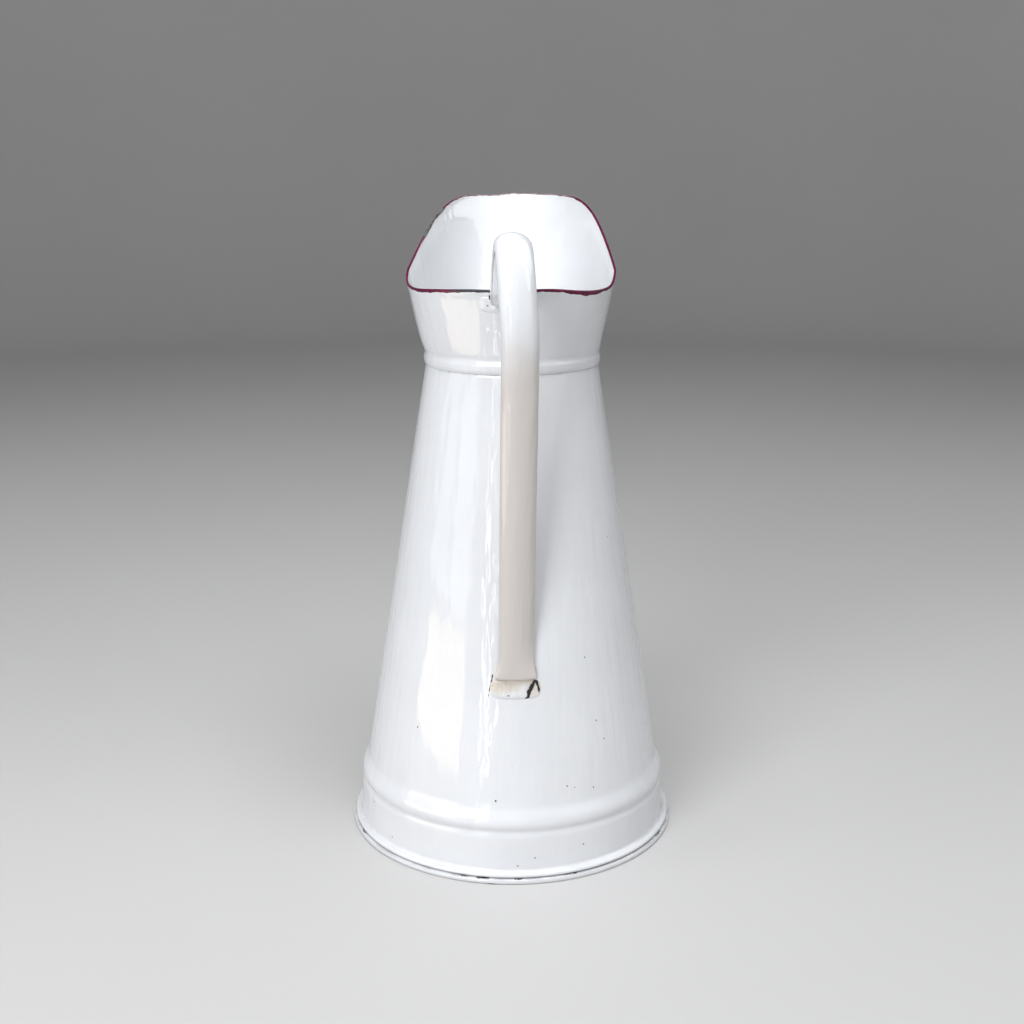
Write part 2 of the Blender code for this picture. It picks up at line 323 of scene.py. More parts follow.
class Graph:
    """Short ways to add nodes to one shader tree and to link them."""

    def __init__(self, tree: bpy.types.NodeTree) -> None:
        """Takes the tree that the nodes go in."""
        self.tree = tree

    def node(self, kind: str, inputs: dict | None = None, **settings: object) -> bpy.types.Node:
        """Adds a node.

        Args:
            kind: Name of the type of node, without ShaderNode.
            inputs: A value or a socket for each input, by its name or number.
            **settings: The node's own properties.

        Returns:
            The node.
        """
        made = self.tree.nodes.new("ShaderNode" + kind)
        for name, value in settings.items():
            setattr(made, name, value)
        for name, value in (inputs or {}).items():
            self.feed(made.inputs[name], value)
        return made

    def feed(self, target: Socket, value: object) -> None:
        """Links a socket to an input, or sets the input to a value."""
        if isinstance(value, bpy.types.NodeSocket):
            self.tree.links.new(value, target)
        else:
            target.default_value = value

    def math(self, operation: str, first: object, second: object = 0.0, clamp: bool = False) -> Socket:
        """Result of a sum on one or two numbers or sockets."""
        made = self.node("Math", {0: first, 1: second}, operation=operation, use_clamp=clamp)
        return made.outputs[0]

    def vector(self, operation: str, first: object, second: object, output: str = "Vector") -> Socket:
        """Result of a sum on two vectors or sockets."""
        made = self.node("VectorMath", {0: first, 1: second}, operation=operation)
        return made.outputs[output]

    def ramp(self, value: object, low: object, high: object, to_low: float = 0, to_high: float = 1) -> Socket:
        """Value moved from one range to another, smoothly and without leaving it.

        Args:
            value: Number or socket to move.
            low: Value that gives to_low.
            high: Value that gives to_high.
            to_low: Start of the new range.
            to_high: End of the new range.

        Returns:
            The moved value.
        """
        inputs = {"Value": value, "From Min": low, "From Max": high, "To Min": to_low, "To Max": to_high}
        return self.node("MapRange", inputs, interpolation_type="SMOOTHSTEP").outputs["Result"]

    def mix(self, share: object, first: object, second: object) -> Socket:
        """Colour between two colours."""
        made = self.node("Mix", {0: share, 6: first, 7: second}, data_type="RGBA")
        return made.outputs[2]

    def noise(self, place: Socket, scale: object, detail: float, roughness: float = 0.5) -> bpy.types.Node:
        """Noise texture at a place."""
        inputs = {"Vector": place, "Scale": scale, "Detail": detail, "Roughness": roughness}
        return self.node("TexNoise", inputs)

    def held(self, name: str) -> Socket:
        """Value that the mesh holds at its points under a name."""
        return self.node("Attribute", attribute_name=name).outputs["Fac"]

    def bump(self, height: Socket, distance: float) -> Socket:
        """Normal bent by a height, which is full at 1 and stands for a distance in metres."""
        return self.node("Bump", {"Height": height, "Strength": 1.0, "Distance": distance}).outputs["Normal"]


@dataclass(frozen=True)
class Blank:
    """A new material, its graph, its Principled shader and its object coordinates."""

    material: bpy.types.Material
    graph: Graph
    shader: bpy.types.Node
    place: Socket

    @classmethod
    def named(cls, name: str) -> "Blank":
        """Starts a material.

        Args:
            name: Name of the material.

        Returns:
            The material and what is needed to fill it.
        """
        material = bpy.data.materials.new(name)
        material.use_nodes = True
        graph = Graph(material.node_tree)
        shader = material.node_tree.nodes["Principled BSDF"]
        return cls(material, graph, shader, graph.node("TexCoord").outputs["Object"])

    def feed(self, name: str, value: object) -> None:
        """Links a socket to one of the shader's inputs, or sets the input to a value."""
        self.graph.feed(self.shader.inputs[name], value)


class Effect(Enum):
    """Shader groups that several finishes share."""

    GLAZE = "glaze_flow"
    PINHOLES = "pinholes"
    CHIP = "chip"
    CRAZING = "crazing"


class Effects:
    """Builds each shared shader group once and places copies of it."""

    def __init__(self) -> None:
        """Builds all the groups."""
        builders = {
            Effect.GLAZE: self.glaze,
            Effect.PINHOLES: self.pinholes,
            Effect.CHIP: self.chip,
            Effect.CRAZING: self.crazing,
        }
        self.trees = {effect: build(effect.value) for effect, build in builders.items()}

    def place(self, graph: Graph, effect: Effect, inputs: dict) -> bpy.types.Node:
        """Puts a group into a graph.

        Args:
            graph: Graph of the material.
            effect: Which group.
            inputs: Its inputs by name.

        Returns:
            The group's node.
        """
        made = graph.tree.nodes.new("ShaderNodeGroup")
        made.node_tree = self.trees[effect]
        for name, value in inputs.items():
            graph.feed(made.inputs[name], value)
        return made

    @staticmethod
    def group(name: str, vectors: list[str], numbers: dict[str, float], masks: list[str]) -> tuple:
        """Starts a shader group.

        Args:
            name: Name of the group.
            vectors: Its inputs that are vectors.
            numbers: Its inputs that are numbers, with the values that they start with.
            masks: Its outputs, which are numbers.

        Returns:
            Its graph, what its inputs give and what its outputs take.
        """
        tree = bpy.data.node_groups.new(name, "ShaderNodeTree")
        new = tree.interface.new_socket
        for vector in vectors:
            new(vector, in_out="INPUT", socket_type="NodeSocketVector")
        for number, value in numbers.items():
            new(number, in_out="INPUT", socket_type="NodeSocketFloat").default_value = value
        for mask in masks:
            new(mask, in_out="OUTPUT", socket_type="NodeSocketFloat")
        given = tree.nodes.new("NodeGroupInput").outputs
        return Graph(tree), given, tree.nodes.new("NodeGroupOutput").inputs

    def glaze(self, name: str) -> bpy.types.NodeTree:
        """Unevenness of a dipped and fired glaze: broad runs down the piece, and fine orange peel.

        Args:
            name: Name of the group.

        Returns:
            The group: Height for a bump, and Shade for the colour, both about 0 to 1.
        """
        numbers = {"Run": 30.0, "Peel": 260.0}
        graph, given, taken = self.group(name, ["Vector"], numbers, ["Height", "Shade"])
        place = given["Vector"]
        broad = graph.vector("MULTIPLY", place, (1.0, 1.0, 0.35))
        runs = graph.noise(broad, given["Run"], 3.0, 0.45).outputs["Fac"]
        narrow = graph.vector("MULTIPLY", place, (1.0, 1.0, 0.07))
        fine = graph.math("MULTIPLY", given["Run"], 6.0)
        drips = graph.noise(narrow, fine, 1.0, 0.5).outputs["Fac"]
        peel = graph.noise(place, given["Peel"], 2.0, 0.4).outputs["Fac"]
        cloud = graph.noise(place, 18.0, 4.0, 0.6).outputs["Fac"]
        fine = graph.math("MULTIPLY", drips, DRIP_SHARE)
        fine = graph.math("ADD", fine, graph.math("MULTIPLY", peel, PEEL_SHARE))
        height = graph.math("ADD", graph.math("MULTIPLY", runs, RUN_SHARE), fine)
        graph.feed(taken["Height"], height)
        graph.feed(taken["Shade"], graph.ramp(cloud, 0.3, 0.7))
        return graph.tree

    def pinholes(self, name: str) -> bpy.types.NodeTree:
        """Small dark pits: a point in each of a few random cells of a Voronoi pattern.

        Args:
            name: Name of the group.

        Returns:
            The group: Mask is 1 in a pit.
        """
        numbers = {"Scale": 90.0, "Share": 0.05, "Radius": 0.03}
        graph, given, taken = self.group(name, ["Vector"], numbers, ["Mask"])
        cells = graph.node("TexVoronoi", {"Vector": given["Vector"], "Scale": given["Scale"]})
        draw = graph.node("SeparateColor", {0: cells.outputs["Color"]})
        chosen = graph.math("LESS_THAN", draw.outputs[0], given["Share"])
        share = graph.ramp(draw.outputs[1], 0.0, 1.0, 0.5, 1.5)
        size = graph.math("MULTIPLY", given["Radius"], share)
        inner = graph.math("MULTIPLY", size, 0.6)
        pit = graph.ramp(cells.outputs["Distance"], inner, size, 1, 0)
        graph.feed(taken["Mask"], graph.math("MULTIPLY", pit, chosen))
        return graph.tree

    def chip(self, name: str) -> bpy.types.NodeTree:
        """A chip along a straight stroke: a point is in it if it is nearer to the stroke than a radius.

        The nearest point of the stroke is its start plus the share of it that the place projects to, held
        to 0 and 1. The radius runs from the start's to the end's, and the swing moves the place to break
        the edge.

        Args:
            name: Name of the group.

        Returns:
            The group: Mask is 1 in the chip, and Halo is 1 in it and fades round it.
        """
        vectors = ["Vector", "Swing", "Start", "End"]
        numbers = {"Start Radius": 0.0005, "End Radius": 0.0005, "Ragged": 0.0006}
        graph, given, taken = self.group(name, vectors, numbers, ["Mask", "Halo"])
        swing = {0: given["Swing"], "Scale": given["Ragged"]}
        moved = graph.node("VectorMath", swing, operation="SCALE")
        place = graph.vector("ADD", given["Vector"], moved.outputs["Vector"])
        reach = graph.vector("SUBTRACT", place, given["Start"])
        stroke = graph.vector("SUBTRACT", given["End"], given["Start"])
        shared = graph.vector("DOT_PRODUCT", reach, stroke, "Value")
        whole = graph.vector("DOT_PRODUCT", stroke, stroke, "Value")
        share = graph.math("DIVIDE", shared, whole, clamp=True)
        along = graph.node("VectorMath", {0: stroke, "Scale": share}, operation="SCALE")
        gap = graph.vector("DISTANCE", reach, along.outputs["Vector"], "Value")
        widen = graph.math("SUBTRACT", given["End Radius"], given["Start Radius"])
        radius = graph.math("ADD", given["Start Radius"], graph.math("MULTIPLY", share, widen))
        inner = graph.math("MULTIPLY", radius, 0.8)
        outer = graph.math("MULTIPLY", radius, 1.7)
        graph.feed(taken["Mask"], graph.ramp(gap, inner, radius, 1, 0))
        graph.feed(taken["Halo"], graph.ramp(gap, inner, outer, 1, 0))
        return graph.tree

    def crazing(self, name: str) -> bpy.types.NodeTree:
        """Hairlines: the borders of large warped cells, kept only where a broad noise is high.

        Args:
            name: Name of the group.

        Returns:
            The group: Mask is 1 on a hairline.
        """
        numbers = {"Scale": 45.0, "Cover": 0.6}
        graph, given, taken = self.group(name, ["Vector"], numbers, ["Mask"])
        place = given["Vector"]
        warp = graph.noise(place, 120.0, 2.0).outputs["Color"]
        moved = graph.node("VectorMath", {0: warp, "Scale": 0.006}, operation="SCALE")
        cells = graph.node(
            "TexVoronoi",
            {"Vector": graph.vector("ADD", place, moved.outputs["Vector"]), "Scale": given["Scale"]},
            feature="DISTANCE_TO_EDGE",
        )
        line = graph.ramp(cells.outputs["Distance"], 0.002, 0.008, 1, 0)
        patch = graph.noise(place, 14.0, 3.0).outputs["Fac"]
        fade = graph.math("ADD", given["Cover"], 0.08)
        kept = graph.ramp(patch, given["Cover"], fade)
        graph.feed(taken["Mask"], graph.math("MULTIPLY", line, kept))
        return graph.tree


# Finishes


@dataclass(frozen=True)
class Chip:
    """A stroke where the enamel has come off, between two points on the surface."""

    start: Triple
    end: Triple
    start_radius: float = 0.0005
    end_radius: float = 0.0005
    ragged: float = 0.0006


@dataclass(frozen=True)
class Enamel:
    """Vitreous enamel on sheet steel, in one colour, with its runs, pits, hairlines, chips, and grime and
    painted shade in its crevices.
    """

    name: str
    colour: Triple
    shade: Triple
    # colour of the hairlines, and of the grime and painted shade in the crevices
    soil_and_shade: Triple = (0.150, 0.140, 0.135)
    ground: Triple = (0.012, 0.010, 0.014)
    halo: Triple = (0.42, 0.36, 0.31)
    roughness: float = 0.045
    rough_chip: float = 0.55
    run_scale: float = 30.0
    peel_scale: float = 260.0
    wave_height: float = 0.00110
    pit_share: float = 0.035
    crazing_cover: float = 0.66
    hair_share: float = 0.35
    stain_share: float = 0.55
    pit_darkness: float = 0.75
    tint: Triple | None = None
    tint_at: float = 0.0
    untinted_at: float = 0.0
    chips: tuple[Chip, ...] = ()

    def material(self, effects: Effects) -> bpy.types.Material:
        """Builds the material.

        The clean colour drifts between two tones, and a tint may take over from it at a height; on the grip
        the tint is partly yellowed enamel and partly painted shade with a painted warm reflection. Grime and
        painted shade darken it where the crevice value is high, and in each chip or pit it gives way first to
        a thin stained edge and then to the dark ground coat.

        Args:
            effects: The shared shader groups.

        Returns:
            The material.
        """
        blank = Blank.named(self.name)
        graph, place = blank.graph, blank.place
        flow = {"Vector": place, "Run": self.run_scale, "Peel": self.peel_scale}
        glaze = effects.place(graph, Effect.GLAZE, flow)
        inputs = {"Vector": place, "Share": self.pit_share}
        pits = effects.place(graph, Effect.PINHOLES, inputs).outputs["Mask"]
        lines = {"Vector": place, "Cover": self.crazing_cover}
        hairs = effects.place(graph, Effect.CRAZING, lines).outputs["Mask"]
        chipped, stained = self.broken(graph, effects, place)
        dirt_and_shade = self.dirt_and_shade(graph, place)
        colour = graph.mix(glaze.outputs["Shade"], (*self.colour, 1), (*self.shade, 1))
        # the tint: on the grip partly yellowed enamel, partly painted shade with a painted warm reflection
        if self.tint is not None:
            colour = graph.mix(self.age(graph, place), colour, (*self.tint, 1))
        colour = graph.mix(graph.math("MULTIPLY", hairs, self.hair_share), colour, (*self.soil_and_shade, 1))
        # grime and painted shade where the crevice value is high
        colour = graph.mix(dirt_and_shade, colour, (*self.soil_and_shade, 1))
        colour = graph.mix(graph.math("MULTIPLY", stained, self.stain_share), colour, (*self.halo, 1))
        dark = graph.math("MAXIMUM", chipped, graph.math("MULTIPLY", pits, self.pit_darkness))
        blank.feed("Base Color", graph.mix(dark, colour, (*self.ground, 1)))
        grain = graph.noise(place, 140.0, 3.0).outputs["Fac"]
        polish = graph.ramp(grain, 0.3, 0.8, self.roughness, self.roughness * 1.8)
        dull = graph.math("MAXIMUM", chipped, graph.math("MULTIPLY", dirt_and_shade, 0.7))
        gap = graph.math("SUBTRACT", self.rough_chip, polish)
        blank.feed("Roughness", graph.math("ADD", polish, graph.math("MULTIPLY", dull, gap)))
        sunk = graph.math("SUBTRACT", glaze.outputs["Height"], graph.math("MULTIPLY", dark, 0.9))
        blank.feed("Normal", graph.bump(sunk, self.wave_height))
        return blank.material

    def age(self, graph: Graph, place: Socket) -> Socket:
        """Share of the tint, which on the grip is partly painted shade: 1 at the tinted height, 0 at the
        untinted one, and uneven between them.

        Args:
            graph: Graph of the material.
            place: Object coordinates.

        Returns:
            The share.
        """
        height = graph.node("SeparateXYZ", {0: place}).outputs["Z"]
        uneven = graph.math("MULTIPLY", graph.noise(place, 60.0, 3.0).outputs["Fac"], 0.02)
        height = graph.math("ADD", height, uneven)
        return graph.ramp(height, self.tint_at, self.untinted_at, 1, 0)

    def broken(self, graph: Graph, effects: Effects, place: Socket) -> tuple[Socket, Socket]:
        """Masks of all the chips and of the stained edge round them.

        The piece's own value, chipped, is broken up by noise, and the strokes are added to it.

        Args:
            graph: Graph of the material.
            effects: The shared shader groups.
            place: Object coordinates.

        Returns:
            The mask of the chips and the mask of their edges.
        """
        broken = graph.noise(place, 500.0, 3.0, 0.6)
        chipped = graph.ramp(graph.math("ADD", graph.held("chipped"), broken.outputs["Fac"]), 0.98, 1.06)
        stained = chipped
        swing = graph.vector("SUBTRACT", broken.outputs["Color"], (0.5, 0.5, 0.5))
        for chip in self.chips:
            inputs = {"Vector": place, "Swing": swing, "Start": chip.start, "End": chip.end}
            inputs |= {"Start Radius": chip.start_radius, "End Radius": chip.end_radius}
            inputs["Ragged"] = chip.ragged
            stroke = effects.place(graph, Effect.CHIP, inputs)
            chipped = graph.math("MAXIMUM", chipped, stroke.outputs["Mask"])
            stained = graph.math("MAXIMUM", stained, stroke.outputs["Halo"])
        return chipped, stained

    def dirt_and_shade(self, graph: Graph, place: Socket) -> Socket:
        """Mask of grime and painted shade: the crevice value, broken up by a noise into dashes."""
        dashes = graph.noise(place, 70.0, 4.0, 0.65).outputs["Fac"]
        dashes = graph.ramp(dashes, 0.44, 0.60, 0.15, 1.0)
        return graph.math("MULTIPLY", graph.held("crevice_dirt_and_shade"), dashes, clamp=True)


@dataclass(frozen=True)
class Edging:
    """Dark enamel brushed along the lip: near-black where it is thin, bare steel where it is knocked off."""

    name: str
    colour: Triple = (0.155, 0.003, 0.042)
    thin: Triple = (0.080, 0.005, 0.028)
    slate: Triple = (0.040, 0.034, 0.052)
    steel: Triple = (0.16, 0.175, 0.165)
    pale: Triple = (0.50, 0.46, 0.47)
    rust: Triple = (0.055, 0.045, 0.045)
    roughness: float = 0.22
    rough_steel: float = 0.6
    shine: float = 0.3
    relief: float = 0.00015

    def material(self, effects: Effects) -> bpy.types.Material:
        """Builds the material, which reads the piece's own values slate, bare and faded.

        Args:
            effects: The shared shader groups.

        Returns:
            The material.
        """
        blank = Blank.named(self.name)
        graph, place = blank.graph, blank.place
        brushed = graph.noise(place, 160.0, 4.0, 0.6).outputs["Fac"]
        colour = graph.mix(graph.ramp(brushed, 0.35, 0.7), (*self.colour, 1), (*self.thin, 1))
        colour = graph.mix(graph.held("slate"), colour, (*self.slate, 1))
        faded = graph.math("MULTIPLY", graph.held("faded"), graph.ramp(brushed, 0.38, 0.55, 1.0, 0.35))
        colour = graph.mix(faded, colour, (*self.pale, 1))
        broken = graph.noise(place, 420.0, 4.0, 0.7).outputs["Fac"]
        bare = graph.ramp(graph.math("ADD", graph.held("bare"), broken), 0.98, 1.06)
        rusty = graph.mix(graph.ramp(broken, 0.40, 0.62), (*self.steel, 1), (*self.rust, 1))
        blank.feed("Base Color", graph.mix(bare, colour, rusty))
        blank.feed("Roughness", graph.ramp(bare, 0.0, 1.0, self.roughness, self.rough_steel))
        blank.feed("Specular IOR Level", self.shine)
        glaze = effects.place(graph, Effect.GLAZE, {"Vector": place, "Run": 120.0, "Peel": 700.0})
        sunk = graph.math("SUBTRACT", glaze.outputs["Height"], bare)
        blank.feed("Normal", graph.bump(sunk, self.relief))
        return blank.material


# Pieces


@dataclass(frozen=True)
class Patch:
    """A stretch of a rim, by its turn from the handle in degrees, with how strongly something shows."""

    degrees: float
    width: float
    strength: float


def spread(patches: tuple[Patch, ...], turn: Array) -> Array:
    """Sum of a bell for each patch, at turns from the handle in radians.

    Args:
        patches: The patches.
        turn: Where the bells are read.

    Returns:
        The sum at each turn.
    """
    total = np.zeros_like(turn)
    for patch in patches:
        away = np.mod(turn - math.radians(patch.degrees) + math.pi, math.tau) - math.pi
        total += patch.strength * hump(away, 0.0, math.radians(patch.width), 4)
    return total


FOOT_CHIPS = (
    Patch(-16.5, 1.8, 0.55),
    Patch(-9.7, 3.4, 0.6),
    Patch(2.5, 2.3, 0.5),
    Patch(20.3, 3.4, 0.55),
    Patch(-66, 4, 0.5),
    Patch(64, 4, 0.5),
    Patch(123, 3, 0.6),
    Patch(-137, 4, 0.6),
    Patch(179, 4, 0.5),
)
EDGE_CHIPS = (Patch(-12.5, 1.4, 0.6), Patch(-7, 2.0, 0.7), Patch(96, 1.8, 0.6), Patch(-110, 2.0, 0.6))


@dataclass(frozen=True)
class Wave:
    """One ripple of a hand-finished wall."""

    height: float
    round: int
    length: float
    phase: float


@dataclass
class Body:
    """Conical wall with a band, a swage bead and a flange that curls out over the foot."""

    top: float
    flange_radius: float
    flange_foot: float
    sheet: float = 0.0011
    neck_radius: float = 0.0510
    cone_foot: float = 0.0420
    cone_foot_radius: float = 0.0905
    band_radius: float = 0.0955
    band_taper: float = 0.0507  # narrowing of the band for each metre up
    band_top: float = 0.0296
    bead_foot: float = 0.0305
    bead_top: float = 0.0445
    swell: float = 0.00080
    swell_height: float = 0.0358
    swell_width: float = 0.0042
    groove: float = 0.00110
    groove_width: float = 0.0019
    flange_height: float = 0.0025
    fillet: float = 0.0018
    hem_width: float = 0.0042
    spacing: float = 0.0011
    straight_foot: float = 0.0500  # the wall is straight from here up
    rim_rows: float = 0.0030  # height of the closely spaced rows below its top
    foot_dirt_and_shade: float = 0.35
    rim_dirt_and_shade: float = 0.20
    bed_dirt_and_shade: float = 0.08
    waves: tuple[Wave, ...] = (
        Wave(0.00016, 2, 0.60, 0.4),
        Wave(0.00007, 5, 0.21, 1.9),
        Wave(0.00005, 8, -0.13, 0.6),
        Wave(0.00003, 13, 0.10, 2.7),
    )

    def radius(self, height: Array) -> Array:
        """Outer radius of the wall.

        The straight band gives way to the straight cone along a smooth step. A bell swells the step, and a
        narrower one sinks the groove under it.

        Args:
            height: Heights above the standing plane.

        Returns:
            Radii at those heights.
        """
        slope = (self.cone_foot_radius - self.neck_radius) / (self.top - self.cone_foot)
        cone = self.neck_radius + (self.top - height) * slope
        band = self.band_radius - self.band_taper * height
        share = smooth_share((height - self.bead_foot) / (self.bead_top - self.bead_foot))
        bead = self.swell * hump(height, self.swell_height, self.swell_width)
        groove = self.groove * hump(height, self.band_top, self.groove_width)
        return band + share * (cone - band) + bead - groove

    def ripple(self, turn: Array, height: Array) -> Array:
        """Small departures from round: a sum of sines of the turn and the height, fading at both ends."""
        waves = []
        for wave in self.waves:
            climb = math.tau * height / wave.length
            waves.append(wave.height * np.sin(wave.round * turn + climb + wave.phase))
        fade = smooth_share((height - self.flange_height) / 0.03) * smooth_share((self.top - height) / 0.03)
        return sum(waves) * fade

    def surface(self, turn: Array, height: Array, above: float = 0.0) -> Array:
        """Points on the outside of the wall, or a little above it."""
        radius = self.radius(height) + self.ripple(turn, height) + above
        return at_turn(radius, turn, height)

    def mark(self, degrees: float, height: float) -> Triple:
        """Point on the outside of the wall, by its turn in degrees from the handle and its height."""
        point = self.surface(np.array(math.radians(degrees)), np.array(height))
        return tuple(float(value) for value in point)

    def build(self) -> bpy.types.Object:
        """Turns the wall's outline round the axis and adds the ripple.

        The middle line runs down half a sheet inside the wall, out over the foot, round the flange's edge
        and back under it.

        Returns:
            The wall.
        """
        half = self.sheet / 2
        flange_top = self.flange_foot + self.flange_height
        heights = np.linspace(self.top, flange_top + 2 * self.fillet, 400)
        wall = resampled(np.stack([self.radius(heights) - half, heights], axis=1), self.spacing)
        straight = (wall[:, 1] > self.straight_foot) & (wall[:, 1] < self.top - self.rim_rows)
        wall = wall[~straight | (np.arange(len(wall)) % THIN_EVERY == 0)]
        edge = (self.flange_height - self.sheet) / 2
        corners = [
            tuple(wall[-1]),
            (float(wall[-1, 0]), flange_top - half),
            (self.flange_radius - half, flange_top - half),
            (self.flange_radius - half, self.flange_foot + half),
            (self.flange_radius - self.hem_width, self.flange_foot + half),
        ]
        foot = rounded_line(corners, [self.fillet + half, edge * ARC_SHARE, edge * ARC_SHARE], ARC_SPACING)
        outline = sheet_outline(np.concatenate([wall, foot[1:]]), self.sheet)
        grid = turned(outline)
        turn, height = turns_round()[None, :], outline[:, 1:]
        grid = grid + self.ripple(turn, height)[..., None] * at_turn(1, turn, 0)
        joint = hump(height, self.flange_foot, JOINT_REACH)
        # grime and painted shade: in the foot's joint, a painted shadow line under the collar's bead, and in
        # the corner above the flange
        low = self.foot_dirt_and_shade * joint * (outline[:, :1] > self.band_radius + 0.0008)
        rim = self.rim_dirt_and_shade * hump(height, self.top, 0.0006)
        bed = self.bed_dirt_and_shade * hump(height, flange_top + 0.0006, 0.0012)
        crevice_dirt_and_shade = np.maximum(np.maximum(low, rim), bed) + 0 * turn
        chipped = joint * (outline[:, :1] > self.flange_radius - 0.0025) * spread(FOOT_CHIPS, turn)
        values = {"crevice_dirt_and_shade": crevice_dirt_and_shade, "chipped": chipped}
        return Skin(grid, ring=True, values=values).build("enamelled_body")


@dataclass
class Pan:
    """Base pan: a recessed disc inside a rolled hem, whose flat underside is the standing ring."""

    foot_radius: float
    disc_top: float
    sheet: float = 0.0011
    hem_height: float = 0.0030
    hem_width: float = 0.0042
    skirt_run: float = 0.0050
    skirt_round: float = 0.0016
    disc_rows: int = 8  # the flat disc keeps one row in so many
    joint_dirt_and_shade: float = 0.35
    foot_dirt_and_shade: float = 0.40

    def build(self) -> bpy.types.Object:
        """Turns the pan's outline round the axis, from the middle of the disc out to the hem and back.

        Returns:
            The pan.
        """
        half = self.sheet / 2
        edge = (self.hem_height - self.sheet) / 2
        inner = self.foot_radius - self.hem_width
        disc = self.disc_top - half
        corners = [
            (0.0004, disc),
            (inner - self.skirt_run, disc),
            (inner, half),
            (self.foot_radius - half, half),
            (self.foot_radius - half, self.hem_height - half),
            (inner, self.hem_height - half),
        ]
        radii = [self.skirt_round, self.skirt_round, edge * 0.4, edge * ARC_SHARE]
        line = rounded_line(corners, radii, ARC_SPACING)
        outline = sheet_outline(line, self.sheet, closed_start=False)
        flat = outline[:, 0] < inner - self.skirt_run - 0.004
        keep = ~flat | (np.arange(len(outline)) % self.disc_rows == 0)
        keep[[0, -1]] = True
        outline = outline[keep]
        crack = hump(outline[:, 1], self.hem_height, JOINT_REACH) * (outline[:, 0] > inner)
        # grime and painted shade in the hem's joint, and darker along the bottom edge that stands on the
        # floor
        worn_and_shaded = hump(outline[:, 1], 0.0, 0.0004)
        crevice_dirt_and_shade = np.maximum(self.joint_dirt_and_shade * crack, self.foot_dirt_and_shade * worn_and_shaded)[:, None] + np.zeros(SEGMENTS)
        edge_band = hump(outline[:, 1], 0.0002, 0.0007) * (outline[:, 0] > inner + 0.002)
        turn = turns_round()
        chipped = crack[:, None] * spread(FOOT_CHIPS, turn) + edge_band[:, None] * spread(EDGE_CHIPS, turn)
        values = {"crevice_dirt_and_shade": crevice_dirt_and_shade, "chipped": chipped}
        return Skin(turned(outline), values=values).build("enamelled_base_pan")


